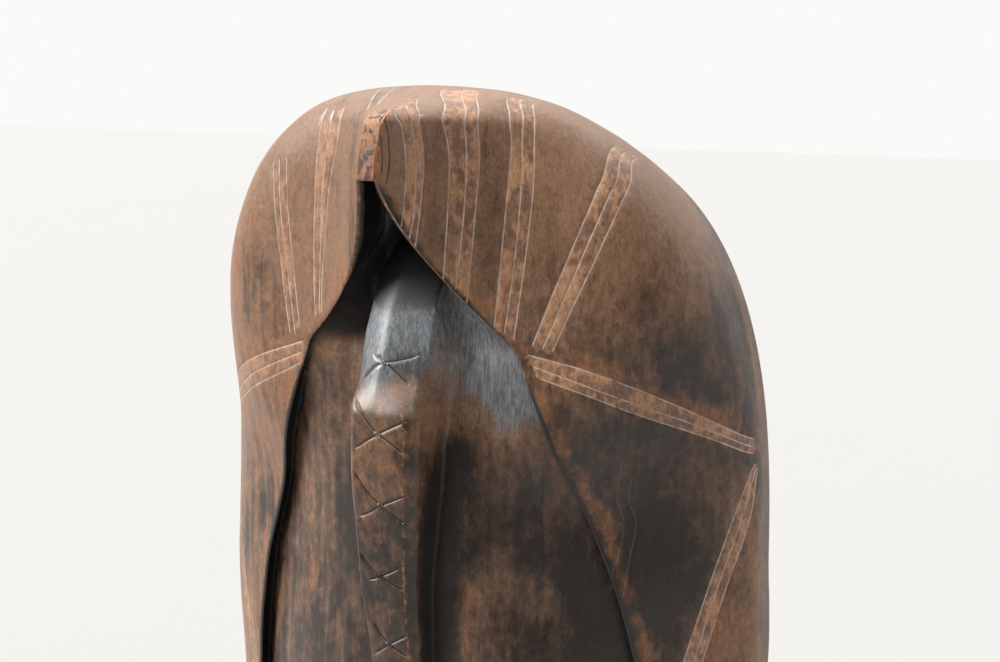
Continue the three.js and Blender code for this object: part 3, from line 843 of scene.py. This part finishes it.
def flank(height, side):
    """How far the side of the nose spreads before it meets the face; wider on the right of the root."""
    wide = 9.0 * smooth(382, 415, height) * smooth(462, 436, height)
    return 1.7 + 4.6 * smooth(402, 420, height) + wide * (np.asarray(side) > 0)


def nose_side(height):
    """Depth at the top of the flank."""
    return through(NOSE_FRONT, height) - BEVEL_DROP - (ROOT_DROP - BEVEL_DROP) * root_share(height)


def nose_surface(x, height):
    across = np.clip((x - nose_middle(height)) / nose_half(height), -1, 1)
    front = through(NOSE_FRONT, height)
    end = np.where(across < 0, FRONT_ENDS[0], FRONT_ENDS[1])
    over = np.clip((np.abs(across) - end) / (1 - end), 0, 1)
    blade = front + 0.8 * (1 - np.clip(np.abs(across) / end, 0, 1) ** 2) - BEVEL_DROP * over
    off_ridge = np.clip(np.abs(across - RIDGE) / np.where(across < RIDGE, 1 + RIDGE, 1 - RIDGE), 0, 1)
    root = front + 0.6 - (ROOT_DROP + 0.6) * off_ridge ** np.where(across < RIDGE, 1.7, 1.25)
    return blade + (root - blade) * root_share(height)


def front_depth(x, height):
    """Depth of the sunk face with the nose standing on it."""
    bare = face_depth(x, height)
    beyond = (np.abs(x - nose_middle(height)) - nose_half(height)) / flank(height, x - nose_middle(height))
    side = np.where(beyond < 0, nose_surface(x, height), nose_side(height))
    fall = np.clip(1 - beyond, 0, 1) ** (2.2 - 0.6 * root_share(height))
    tip = smooth(174.5, 181, height)
    nose = bare + np.maximum(side - bare, 0) * np.where(beyond < 0, 1, fall) * tip
    dents = 4.5 * spot(np.abs(x), height, (9.5, 182), (4.2, 3.2))
    wings = 2.4 * spot(np.abs(x), height, (14.5, 193), (5, 9))
    return np.where(height > 496, bare, np.where(height > 170, nose + wings * tip - dents, bare))


def plan_cut(line, offsets, depths):
    """Constraint rows of a V cut drawn in plan, with the depth and strength of each."""
    path = smooth_path(line, CUT_SPACING)
    tangent = unit(np.gradient(path, axis=0))
    across = np.stack([-tangent[:, 1], tangent[:, 0]], 1)
    index = np.arange(len(path))
    ends = np.clip(np.minimum(index, index[::-1]) / 2.0, 0.15, 1)
    return [(path + across * offset * ends[:, None], depth * ends) for offset, depth in zip(offsets, depths)]


def lid_line(side, drop, lift, reach=1.0):
    x = np.linspace(-1, 1, 9)
    return [(side * (EYE[0] + EYE_HALF[0] * reach * t), EYE[1] - drop + lift * (1 - t * t)) for t in x]


def face_marks(points):
    """Stain, wear and colour of the sunk face and the nose, with painted shadow beside the nose and under the
    hood's left side, painted shade along the groove and on the lower right, and a painted highlight on the
    nose's edges.
    """
    x, height = points[:, 0], points[:, 1]
    beside = np.abs(x - nose_middle(height)) - nose_half(height)
    on_nose = (beside < 0.4) & (height > 176)
    shift = 12 * waves(points, 17, 14)
    right = smooth(-8, 8, x)
    from_hood = opening_half(height) - np.abs(x)
    # Blue-black stain in the recess on the right; on the left, reaching lower, a painted shadow cast by the
    # hood's left side.
    stain = smooth(440, 468, height + shift) * right + smooth(416, 438, height + 0.5 * shift) * (1 - right)
    stain = np.where(on_nose, smooth(434, 452, height + 0.5 * shift), stain)
    # Painted shade in the groove: a dark line along the hood's edge.
    stain = np.maximum(stain, 0.8 * smooth(4.0, 1.0, from_hood) * (height > WIDEST - 150))
    # Painted shadow of the nose on the face beside it, partly stain.
    nose_foot_shadow_and_stain = smooth(5.5, 1.0, beside - 0.4) * smooth(215, 250, height) * ~on_nose
    nose_foot_shadow_and_stain = nose_foot_shadow_and_stain * (0.35 + 0.3 * right * smooth(392, 350, height))
    stain = np.maximum(stain, nose_foot_shadow_and_stain * (1 - right * smooth(350, 395, height)))
    blue = smooth(372, 412, height + shift) * right * (0.3 + 0.6 * smooth(46, 12, from_hood + 0.5 * shift))
    blue = np.where(on_nose, 0.95 * smooth(398, 424, height + 0.7 * shift), blue)
    across = (x - nose_middle(height)) / nose_half(height)
    from_ridge = np.abs(across - FRONT_ENDS[1]) * nose_half(height)
    # Painted highlight along the nose's left edge; the right ridge is wear with a painted highlight.
    ridge = bell(from_ridge, 0, 1.1) * on_nose * (height < 404)
    left_edge_highlight = bell((across + 1) * nose_half(height), 0, 0.7) * on_nose * (height < 412)
    wear = (0.55 * ridge + 0.6 * left_edge_highlight) * smooth(180, 200, height)
    # Darker towards the bottom, and painted shade on the lower right of the face.
    low_right_shade = (0.3 + 0.5 * smooth(190, 260, height)) * smooth(20, 60, x) * smooth(400, 320, height)
    tone = -0.3 * smooth(330, 240, height) - low_right_shade
    tone -= 0.8 * spot(x, height, (-33, 352), (6, 16))
    tone -= 0.5 * right * bell(from_hood, 14, 9) * smooth(380, 300, height)
    glow = spot(x, height, (-60, 310), (4.5, 18))
    glow = np.maximum(glow, 0.5 * bell(x, 28, 7) * smooth(250, 300, height) * smooth(400, 350, height))
    glow = np.where(on_nose, 0.45 * smooth(404, 392, height) * smooth(250, 340, height), glow)
    # Painted shadow of the nose on the face to its right.
    tone -= 1.7 * right * bell(beside, 6, 8) * smooth(400, 375, height)
    # Painted shadow of the hood's left side on the upper left of the face.
    tone -= 0.66 * (1 - right) * smooth(415, 365, height)
    tone = np.where(on_nose, -0.5 - 0.4 * smooth(395, 300, height), tone)
    streaks = (0.75 - 0.45 * right) * ~on_nose
    return {"stain": stain, "wear": wear, "streaks": streaks, "blue": blue, "tone": tone, "glow": glow}


def face_rows():
    """Cuts in the face and the lines along the nose that the mesh has to follow."""
    rows = Rows()

    def cut(line, offsets, row_depths, line_mark, ink_mark):
        for row, depth in plan_cut(line, offsets, row_depths):
            strength = np.clip(depth / max(row_depths), 0, 1)
            mark = np.sqrt(np.clip(strength - 0.15, 0, 1)) * line_mark * (strength < 0.9)
            rows.keep(row, depth, mark, strength * ink_mark)

    heights = np.linspace(178, 494, 190)
    blade = heights[heights < 400]
    for side in (-1, 1):
        for step in FLANK_STEPS:
            x = nose_middle(heights) + side * (nose_half(heights) + flank(heights, side) * step)
            rows.keep(np.column_stack([x, heights]))
        ridge = nose_middle(blade) + side * nose_half(blade) * FRONT_ENDS[int(side > 0)]
        rows.keep(np.column_stack([ridge, blade]))
        cut(lid_line(side, 2.5, -2.6), (-0.8, -0.35, 0, 0.35, 0.8), (0, 1.2, 2.6, 1.2, 0), 0.0, 1.0)
        cut(lid_line(side, -1.0, 13.6, 1.1), (-0.9, -0.4, 0, 0.4, 0.9), (0, 0.5, 1.1, 0.5, 0), 0.0, 0.6)
    cut([(-24, 110.4), (-13, 109.6), (-5, 110.6), (0, 109.4), (5, 110.6), (13, 109.6), (24, 110.4)],
        (-0.9, -0.4, 0, 0.4, 0.9), (0, 1.2, 2.4, 1.2, 0), 0.0, 1.0)
    for stroke in NOSE_STROKES:
        cut(stroke, STROKE_OFFSETS, STROKE_DEPTHS, 0.85, 0.8)
    return rows


def build_face(shell, loop, foot):
    rows = face_rows()
    low, high = loop.min(0), loop.max(0)
    coarse = hex_grid(low, high, FACE_GRID[0])
    fine = hex_grid(low, high, FACE_GRID[1])

    def wants_detail(p):
        nose = (np.abs(p[:, 0]) < 26) & (p[:, 1] > 172) & (p[:, 1] < 480)
        eye = ((np.abs(p[:, 0]) - EYE[0]) / 33) ** 2 + ((p[:, 1] - EYE[1]) / 17) ** 2 < 1
        mouth = (p[:, 0] / 33) ** 2 + ((p[:, 1] - MOUTH[1]) / 19) ** 2 < 1
        return nose | eye | mouth

    fill = np.vstack([coarse[~wants_detail(coarse)], fine[wants_detail(fine)]])
    fill = fill[inside(loop, fill)]
    fill = away_from(fill, loop, 1.3)
    fill = away_from(fill, np.vstack(rows.lines), 0.62)
    flat, faces, ids, place = triangulate([loop], rows.lines, fill)
    depth = front_depth(flat[:, 0], flat[:, 1])
    depth[ids[0]] = foot[:, 2]
    cut_depth, line, ink = rows.spread(place[len(loop):], len(flat))
    points = np.column_stack([flat, depth])
    loose = np.ones(len(points))
    loose[ids[0]] = 0
    lumps = 0.55 * waves(points, 38, 4) + 0.22 * waves(points * [1, 0.35, 1], 9, 6)
    points[:, 2] += loose * (lumps - cut_depth)
    new = shell.add(points, faces, line=line, ink=ink, **face_marks(points))
    shell.strip(shell.wall_top, new[ids[0]])


# ---- rim and back

POCKET = (21.0, 416.0, 488.0, 14.0, 6.0)
LUG = (15.0, 422.0, 462.0)
LUG_MIDDLE = np.array([0, 442])
AROUND_POCKET = np.array([(-22.0, 414.0), (22.0, 489.0)])
SCREW_HEIGHTS = (450.5, 435.0)
HOLLOW = (122.0, 136.0, 300.0, 63.0)
# Rings down the rim wall: depth, how far the edge is rounded in, wear.
RIM_RINGS = ((11.0, 0, 0.25), (8.5, 0, 0.1), (6.0, 0, 0), (3.0, 0, 0), (1.2, 0, 0.2), (0.35, 0.35, 0.6),
             (0.0, 1.1, 0.5))


def hollow_share(x, height):
    angle = np.arctan2(height - WIDEST, x)
    return np.hypot(x, height - WIDEST) / superellipse(angle, *HOLLOW[:3])


def back_depth(x, height):
    share = hollow_share(x, height)
    bowl = HOLLOW[3] * (0.06 + np.clip(1 - np.clip(share, 0, 1) ** 2.6, 0, None) ** 0.62)
    rounded = smooth(1.012, 0.995, share)
    return np.where(share < 1.012, bowl * rounded, 0.0)


def rounded_box(half, low, high, corner, grow=0.0):
    """Closed loop of a box with its two upper corners rounded."""
    half, low, high = half + grow, low - grow, high + grow
    turn = np.linspace(0, math.pi / 2, 7)
    right = np.column_stack([half - corner + corner * np.cos(turn), high - corner + corner * np.sin(turn)])
    left = np.column_stack([-right[::-1, 0], right[::-1, 1]])
    return resample(np.vstack([[(-half, low), (half, low)], right, left]), 1.8, closed=True)


def circle(radius, centre, count=18):
    turn = np.linspace(0, 2 * math.pi, count, endpoint=False)
    return np.column_stack([centre[0] + radius * np.cos(turn), centre[1] + radius * np.sin(turn)])


def build_back(shell, rim_ids, rim_angle):
    """Rim wall, flat land and the hollow with its gouge marks."""
    previous = rim_ids
    for depth, draw, wear in RIM_RINGS:
        ring = hood_point(np.ones(len(rim_angle)), rim_angle, np.full(len(rim_angle), depth))
        middle = np.array([0, WIDEST, 0])
        away = ring - middle
        away[:, 2] = 0
        ring = ring - unit(away) * draw
        now = shell.add(ring, [], wear=wear)
        shell.strip(previous, now)
        previous = now
    loop = ring[:, :2]
    half, low, high, pocket_depth, corner = POCKET
    lug_half, lug_low, lug_high = LUG
    pocket_in, pocket_out = rounded_box(half, low, high, corner), rounded_box(half, low, high, corner, 0.35)
    lug_box = resample(np.array([(-lug_half, lug_low), (lug_half, lug_low), (lug_half, lug_high),
                                 (-lug_half, lug_high)]), 1.8, closed=True)
    lug_out = (lug_box - LUG_MIDDLE) * [1 + 0.5 / 15, 1 + 0.5 / 20] + LUG_MIDDLE
    hollow_angles = np.linspace(-math.pi, math.pi, 561)[:-1]
    closed = []
    for grow in (1.015, 1.004, 0.99):
        radius = superellipse(hollow_angles, *HOLLOW[:3]) * grow
        ring_points = np.column_stack([radius * np.cos(hollow_angles),
                                       WIDEST + radius * np.sin(hollow_angles)])
        keep = ~inside(rounded_box(half, low, high, corner, 1.2), ring_points)
        closed.append(ring_points[keep])
    holes = [circle(r, (0, h), 18) for h in SCREW_HEIGHTS for r in (1.95, 2.2)]
    rows = [np.vstack([c, c[:1]]) for c in [pocket_in, pocket_out, lug_box, lug_out] + holes]
    fill = hex_grid(loop.min(0), loop.max(0), BACK_GRID[0])
    fill = fill[inside(loop, fill)]
    fill = away_from(fill, loop, 2.0)
    fill = away_from(fill, np.vstack(rows + closed), 1.0)
    near = hex_grid(*AROUND_POCKET, BACK_GRID[1])
    near = away_from(near, np.vstack(rows + closed), 0.9)
    boxed = inside(rounded_box(half, low, high, corner, 2.0), fill)
    fill = np.vstack([fill[~boxed], near, np.vstack(closed)])
    flat, faces, ids, _ = triangulate([loop], rows, fill)
    x, height = flat.T
    depth = back_depth(x, height)
    gouged = smooth(0.99, 0.93, hollow_share(x, height))
    in_pocket = inside(rounded_box(half, low, high, corner, 0.05), flat)
    in_lug = inside((lug_box - LUG_MIDDLE) * 1.003 + LUG_MIDDLE, flat)
    depth = depth - gouged * scallops(flat) * ~in_lug
    land = 0.18 * (waves(np.column_stack([flat, depth]), 14, 8) - 0.9) * (hollow_share(x, height) > 1.03)
    pocket_floor = pocket_depth + 0.15 * waves(np.column_stack([flat, depth]), 6, 9)
    depth = np.where(in_pocket, np.maximum(depth, pocket_floor), depth - np.minimum(land, 0) * 0.5)
    depth = np.where(in_lug, pocket_depth, depth)
    for h in SCREW_HEIGHTS:
        depth = np.where(np.hypot(x, height - h) < 2.05, pocket_depth + 13.2, depth)
    depth[ids[0]] = 0.0
    points = np.column_stack([flat, depth])
    dark = smooth(1.2, 0.9, hollow_share(x, height))
    new = shell.add(points, faces[:, ::-1], back=1.0, stain=0.25 * dark)
    shell.strip(previous, new[ids[0]])


def scallops(flat):
    """Shallow overlapping gouge cuts, as ridges left between neighbouring passes."""
    pitch = (15.0, 27.0)
    seeds = []
    for row, h in enumerate(np.arange(0, 470, pitch[1])):
        for x in np.arange(-130 + (row % 2) * pitch[0] / 2, 130, pitch[0]):
            seeds.append((x + RANDOM.uniform(-4, 4), h + RANDOM.uniform(-7, 7)))
    tree = KDTree(len(seeds))
    squash = pitch[0] / pitch[1]
    for i, (x, h) in enumerate(seeds):
        tree.insert((x, h * squash, 0), i)
    tree.balance()
    ridge = np.array([tree.find((x, h * squash, 0))[2] for x, h in flat])
    return np.minimum(ridge, 11) ** 2 / 60.0


def mask_mesh():
    shell = Shell()
    rim_ids, edge_ids, rim_angle, edge_angle, share = build_hood(shell)
    foot_plan, foot = build_lip(shell, edge_ids, edge_angle, share)
    build_face(shell, foot_plan, foot)
    build_back(shell, rim_ids, rim_angle)
    points, faces, marks = shell.arrays()
    mesh = bpy.data.meshes.new("mask")
    place = np.stack([points[:, 0], -points[:, 2], points[:, 1] + CHIN / MM], 1) * MM
    mesh.from_pydata(place.tolist(), [], faces.tolist())
    for name, values in marks.items():
        layer = mesh.attributes.new(name, "FLOAT", "POINT")
        layer.data.foreach_set("value", values.astype(np.float32))
    work = bmesh.new()
    work.from_mesh(mesh)
    bmesh.ops.recalc_face_normals(work, faces=work.faces)
    open_edges = sum(1 for e in work.edges if not e.is_manifold)
    loose = [v for v in work.verts if not v.link_faces]
    bmesh.ops.delete(work, geom=loose, context="VERTS")
    print("mask mesh:", len(work.verts), "points", len(work.faces), "faces", open_edges, "open edges",
          round(work.calc_volume() * 1e6), "cm3")
    work.to_mesh(mesh)
    work.free()
    mesh.shade_smooth()
    return mesh


# ---- materials

class Nodes:
    """Short way to wire a node material."""

    def __init__(self, name):
        self.material = bpy.data.materials.new(name)
        self.material.use_nodes = True
        self.tree = self.material.node_tree
        self.tree.nodes.clear()
        self.output = self.tree.nodes.new("ShaderNodeOutputMaterial")
        self.surface = self.tree.nodes.new("ShaderNodeBsdfPrincipled")
        self.tree.links.new(self.surface.outputs[0], self.output.inputs[0])

    def add(self, kind, values=None, **settings):
        node = self.tree.nodes.new("ShaderNode" + kind)
        for key, value in settings.items():
            setattr(node, key, value)
        for key, value in (values or {}).items():
            self.put(node.inputs[key], value)
        return node

    def put(self, socket, value):
        if isinstance(value, bpy.types.NodeSocket):
            self.tree.links.new(value, socket)
        else:
            socket.default_value = value

    def math(self, operation, a, b):
        return self.add("Math", {0: a, 1: b}, operation=operation).outputs[0]

    def times(self, a, b):
        return self.math("MULTIPLY", a, b)

    def mix(self, share, a, b):
        return self.add("Mix", {0: share, 6: a, 7: b}, data_type="RGBA").outputs[2]

    def coat(self, under, over, where, low, high, amount):
        """Lays one colour over another where a value rises from low to high."""
        return self.mix(self.times(self.range(where, low, high), amount), under, over)

    def shade(self, colour, factor):
        """Makes a colour lighter or darker by a factor."""
        return self.add("VectorMath", {0: colour, "Scale": factor}, operation="SCALE").outputs[0]

    def add_up(self, *values):
        total = values[0]
        for value in values[1:]:
            total = self.math("ADD", total, value)
        return total

    def uneven(self, value, amount):
        """A noise centred on 0 and scaled, for adding unevenness to something else."""
        return self.times(self.math("SUBTRACT", value, 0.5), amount)

    def blend(self, share, a, b):
        return self.add("Mix", {0: share, 2: a, 3: b}, data_type="FLOAT").outputs[0]

    def mark(self, name):
        return self.add("Attribute", attribute_name=name).outputs["Fac"]

    def place(self, scale):
        """Object coordinates in units of `scale` millimetres along x, y and z."""
        coordinates = self.add("TexCoord").outputs["Object"]
        return self.add("Mapping", {"Vector": coordinates, "Scale": [1 / (s * MM) for s in scale]}).outputs[0]

    def noise(self, scale, detail=3.0, roughness=0.5, distortion=0.0):
        node = self.add("TexNoise", {"Vector": self.place(scale), "Scale": 1.0, "Detail": detail,
                                     "Roughness": roughness, "Distortion": distortion})
        return node.outputs["Fac"]

    def range(self, value, low, high, to_low=0.0, to_high=1.0):
        values = {"Value": value, "From Min": low, "From Max": high, "To Min": to_low, "To Max": to_high}
        return self.add("MapRange", values, clamp=True, interpolation_type="SMOOTHSTEP").outputs[0]

    def give(self, name, value):
        """Sets one input of the surface."""
        self.put(self.surface.inputs[name], value)

    def bump(self, height, distance, strength):
        values = {"Height": height, "Distance": distance, "Strength": strength}
        self.give("Normal", self.add("Bump", values).outputs[0])


def tint(r, g, b):
    """Linear colour from 0-255 display values."""
    def linear(v):
        v /= 255
        return v / 12.92 if v < 0.04045 else ((v + 0.055) / 1.055) ** 2.4
    return (linear(r), linear(g), linear(b), 1.0)


DARK_WOOD = tint(35, 26, 21)
MID_WOOD = tint(118, 87, 65)
WARM_WOOD = tint(128, 82, 50)
BAND_DARK = tint(120, 89, 71)
BAND_LIGHT = tint(172, 128, 96)
SLATE = tint(104, 112, 118)
SLATE_DARK = tint(64, 67, 69)
STAIN_AND_SHADE = tint(27, 27, 26)
BARE_LIGHT = tint(168, 118, 86)
BARE_DARK = tint(116, 88, 72)
BARE_BLUE = tint(40, 42, 50)
RUBBED_AND_LIT = tint(164, 108, 70)
INNER_LIGHT = tint(108, 76, 53)
INNER_DARK = tint(86, 61, 44)
INNER_PATCH = tint(66, 50, 40)
PORE = tint(26, 19, 16)
CUT_PALE = tint(186, 176, 168)
CUT_WARM = tint(152, 134, 120)
INK_AND_SHADE = tint(17, 18, 21)
ZINC_LIGHT = tint(205, 190, 150)
ZINC_DARK = tint(170, 140, 90)
SCREW_LIGHT = tint(214, 190, 128)
SCREW_DARK = tint(180, 140, 76)


def carved_wood():
    n = Nodes("carved_wood")
    grain = n.noise((0.8, 0.8, 11), 4, 0.65)
    fibre = n.noise((0.45, 0.45, 2.6), 3, 0.6)
    streak = n.noise((5, 5, 85), 3, 0.55, 0.5)
    cloud = n.noise((48, 48, 66), 3, 0.55, 0.6)
    blotch = n.noise((15, 15, 22), 4, 0.6, 0.4)
    mottle = n.noise((3.4, 3.4, 5), 3, 0.6, 0.3)
    speck = n.noise((1.1, 1.1, 1.5), 2, 0.6)
    scrape = n.noise((1.1, 1.1, 13), 3, 0.6, 0.3)

    # The tone mark brings the wood's own patches together with painted light and shade: lighter crown and
    # left side, darker right side, shadows beside the nose and under the hood.
    depth = n.add_up(n.uneven(cloud, 2.4), n.uneven(blotch, 1.3),
                     n.times(n.uneven(streak, 1.5), n.math("ADD", 0.35, n.mark("streaks"))),
                     n.uneven(mottle, 0.8), n.times(n.mark("tone"), 0.85))
    wood = n.mix(n.range(depth, -1.0, 0.6), DARK_WOOD, MID_WOOD)
    rubbed = n.add_up(n.mark("glow"), n.uneven(blotch, 1.2), n.uneven(mottle, 0.9), n.uneven(cloud, 0.6),
                      n.times(n.uneven(streak, 1.6), n.mark("streaks")))
    wood = n.coat(wood, WARM_WOOD, rubbed, 0.25, 1.15, 0.7)

    strip = n.mix(n.range(n.add_up(blotch, n.uneven(mottle, 0.8)), 0.36, 0.66), BAND_DARK, BAND_LIGHT)
    strip = n.coat(strip, DARK_WOOD, n.add_up(n.mark("dot"), n.uneven(mottle, 0.7)), 0.2, 0.85, 0.75)
    wood = n.coat(wood, strip, n.mark("band"), 0.30, 0.70, 0.68)

    blue_reach = n.add_up(n.mark("blue"), n.uneven(blotch, 1.2), n.uneven(streak, 0.9))
    grey = n.mix(n.range(n.add_up(scrape, n.uneven(mottle, 0.5)), 0.36, 0.66), SLATE, SLATE_DARK)
    wood = n.coat(wood, grey, blue_reach, 0.25, 0.85, 0.88)
    # Near-black stain, and painted shade and shadow in the recess, along the groove, on the wall under the
    # hood's edge and beside the nose.
    stain_and_shade_reach = n.add_up(n.mark("stain"), n.uneven(blotch, 0.7), n.uneven(mottle, 0.4))
    wood = n.coat(wood, STAIN_AND_SHADE, stain_and_shade_reach, 0.3, 0.8, 0.96)

    bare = n.mix(n.range(blotch, 0.4, 0.6), BARE_LIGHT, BARE_DARK)
    bare = n.coat(bare, BARE_BLUE, mottle, 0.45, 0.56, 0.9)
    wood = n.coat(wood, bare, n.mark("raw"), 0.3, 0.7, 0.9)

    # Rubbed orange-brown wear, and a painted highlight along the nose's left edge and right ridge.
    rub_and_highlight = n.add_up(n.mark("wear"), n.uneven(mottle, 1.6), n.uneven(speck, 0.6))
    wood = n.coat(wood, RUBBED_AND_LIT, rub_and_highlight, 0.35, 0.95, 0.75)

    inner = n.mix(n.range(streak, 0.32, 0.72), INNER_LIGHT, INNER_DARK)
    inner = n.coat(inner, INNER_PATCH, blotch, 0.5, 0.7, 0.5)
    wood = n.mix(n.range(n.mark("back"), 0.3, 0.7), wood, inner)

    light = n.add_up(n.math("ADD", 1.0, n.uneven(grain, 0.8)), n.uneven(fibre, 1.3), n.uneven(mottle, 0.8),
                     n.uneven(speck, 0.9))
    wood = n.shade(wood, light)
    pores = n.times(n.range(fibre, 0.60, 0.72), n.range(blotch, 0.35, 0.6, 0.3, 0.7))
    wood = n.mix(pores, wood, PORE)

    scratch = n.times(n.range(n.mark("line"), 0.35, 0.80), n.range(mottle, 0.3, 0.62, 0.55, 1.0))
    pale = n.mix(n.range(blotch, 0.35, 0.65), CUT_PALE, CUT_WARM)
    wood = n.mix(n.times(scratch, 0.80), wood, pale)
    # Dark ink in the cuts, and painted shade along the groove and the hood's lower edge.
    wood = n.coat(wood, INK_AND_SHADE, n.mark("ink"), 0.2, 0.75, 0.90)

    n.give("Base Color", wood)
    rough = n.add_up(n.range(blotch, 0.3, 0.7, 0.36, 0.46), n.uneven(grain, 0.16), n.uneven(fibre, 0.12))
    rough = n.blend(n.times(n.mark("stain"), 0.85), rough, 0.6)
    rough = n.blend(n.range(n.mark("back"), 0.3, 0.7), rough, 0.72)
    rough = n.blend(n.times(n.mark("raw"), 0.8), rough, 0.7)
    n.give("Roughness", rough)
    polish = n.math("SUBTRACT", n.times(n.mark("blue"), 0.45), n.times(n.mark("stain"), 0.35))
    n.give("Specular IOR Level", n.math("ADD", 0.55, polish))
    height = n.add_up(n.times(grain, 0.05), n.times(fibre, 0.05), n.times(mottle, 0.10))
    n.bump(height, 0.001, 0.9)
    return n.material


def steel(name, light, dark, rough):
    n = Nodes(name)
    cloud = n.noise((3.5, 3.5, 3.5), 3, 0.6)
    fine = n.noise((0.5, 0.5, 2.4), 2, 0.5)
    colour = n.mix(n.range(cloud, 0.35, 0.65), light, dark)
    n.give("Base Color", colour)
    n.give("Metallic", 1.0)
    n.give("Roughness", n.range(cloud, 0.3, 0.7, rough, rough + 0.2))
    n.bump(fine, 0.00006, 0.5)
    return n.material


# ---- assembly

def add_object(name, mesh, material):
    obj = bpy.data.objects.new(name, mesh)
    bpy.context.scene.collection.objects.link(obj)
    mesh.materials.clear()
    mesh.materials.append(material)
    return obj


mask = add_object("carved_mask", mask_mesh(), carved_wood())
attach(mask, "mask")
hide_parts("mask_body")

zinc = steel("hanger_steel", ZINC_LIGHT, ZINC_DARK, 0.28)
bright = steel("screw_steel", SCREW_LIGHT, SCREW_DARK, 0.3)
for node, material in (("hanger_plate", zinc), ("hanger_ring", zinc), ("hanger_screw_upper", bright),
                       ("hanger_screw_lower", bright)):
    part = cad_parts[node]
    part.data.materials.clear()
    part.data.materials.append(material)


# ---- stage, light and camera

def look_at(obj, target):
    obj.rotation_euler = (Vector(target) - obj.location).to_track_quat("-Z", "Y").to_euler()


floor_mesh = bpy.data.meshes.new("floor")
REACH, FRONT_REACH = 14.0, 1.1
floor_level = CAD_BOX[0][2] - 0.001
floor_mesh.from_pydata([(-REACH, -FRONT_REACH, floor_level), (REACH, -FRONT_REACH, floor_level),
                        (REACH, REACH, floor_level), (-REACH, REACH, floor_level)], [], [(0, 1, 2, 3)])
floor_nodes = Nodes("pale_floor")
floor_cloud = floor_nodes.noise((900, 900, 900), 2, 0.5)
floor_nodes.put(floor_nodes.surface.inputs["Base Color"],
                floor_nodes.mix(floor_cloud, (0.305, 0.303, 0.300, 1), (0.31, 0.308, 0.305, 1)))
floor_nodes.surface.inputs["Roughness"].default_value = 0.8
floor = add_object("floor", floor_mesh, floor_nodes.material)

ROOM_LIGHT = 0.07
WALL_LIGHT = 0.75
CEILING_LIGHT = 2.3
WINDOW_WALL_LIGHT = 0.3
SEEN_BACKGROUND = 0.96
WINDOW_LIGHT = 5.0
WINDOW_SPREAD = math.radians(34)
WINDOW_PLACE = (-2.9, -2.0, 2.4)
world = bpy.data.worlds.new("studio")
world.use_nodes = True
links = world.node_tree.links.new
seen = world.node_tree.nodes["Background"]
seen.inputs["Color"].default_value = (1.0, 0.995, 0.98, 1)
seen.inputs["Strength"].default_value = SEEN_BACKGROUND
around = world.node_tree.nodes.new("ShaderNodeBackground")
around.inputs["Color"].default_value = (1.0, 0.985, 0.96, 1)
direction = world.node_tree.nodes.new("ShaderNodeTexCoord")
parts = world.node_tree.nodes.new("ShaderNodeSeparateXYZ")
links(direction.outputs["Generated"], parts.inputs[0])
total = None
# Brightness of the room along each axis: axis, start and end of the ramp, brightness at each.
RAMPS = (("Y", -0.35, 0.45, ROOM_LIGHT, WALL_LIGHT),
         ("Z", 0.25, 0.95, 0.0, CEILING_LIGHT),
         ("X", -0.25, -0.95, 0.0, WINDOW_WALL_LIGHT))
for axis, start, end, low, high in RAMPS:
    ramp = world.node_tree.nodes.new("ShaderNodeMapRange")
    ramp.interpolation_type = "SMOOTHSTEP"
    for socket, value in (("From Min", start), ("From Max", end), ("To Min", low), ("To Max", high)):
        ramp.inputs[socket].default_value = value
    links(parts.outputs[axis], ramp.inputs["Value"])
    if total is None:
        total = ramp.outputs[0]
    else:
        adder = world.node_tree.nodes.new("ShaderNodeMath")
        links(total, adder.inputs[0])
        links(ramp.outputs[0], adder.inputs[1])
        total = adder.outputs[0]
links(total, around.inputs["Strength"])
path = world.node_tree.nodes.new("ShaderNodeLightPath")
choice = world.node_tree.nodes.new("ShaderNodeMixShader")
links(path.outputs["Is Camera Ray"], choice.inputs[0])
links(around.outputs[0], choice.inputs[1])
links(seen.outputs[0], choice.inputs[2])
links(choice.outputs[0], world.node_tree.nodes["World Output"].inputs[0])
bpy.context.scene.world = world
bpy.context.scene.view_settings.view_transform = "Standard"

window = bpy.data.lights.new("window", "SUN")
window.energy = WINDOW_LIGHT
window.angle = WINDOW_SPREAD
window.color = (1.0, 0.985, 0.96)
window_object = bpy.data.objects.new("window", window)
bpy.context.scene.collection.objects.link(window_object)
window_object.location = WINDOW_PLACE
look_at(window_object, (0, 0, 0))

TURN, TILT, ROLL = (math.radians(a) for a in (28, 6, 1))
DISTANCE = 1.250
AIM_SIDE, AIM_HEIGHT = -0.0025, 0.425
LENS = 93.6
SENSOR = 36
ahead = Vector((-math.sin(TURN) * math.cos(TILT), math.cos(TURN) * math.cos(TILT), -math.sin(TILT)))
right = Vector((math.cos(TURN), math.sin(TURN), 0))
up = right.cross(ahead)
rolled_right = right * math.cos(ROLL) + up * math.sin(ROLL)
rolled_up = up * math.cos(ROLL) - right * math.sin(ROLL)
centre = Vector((AIM_SIDE, 0, AIM_HEIGHT + CHIN))
camera_data = bpy.data.cameras.new("camera")
camera_data.sensor_width = SENSOR
camera_data.lens = LENS
camera = bpy.data.objects.new("camera", camera_data)
bpy.context.scene.collection.objects.link(camera)
basis = Matrix((rolled_right, rolled_up, -ahead)).transposed().to_4x4()
camera.matrix_world = Matrix.Translation(centre - ahead * DISTANCE) @ basis
bpy.context.scene.camera = camera
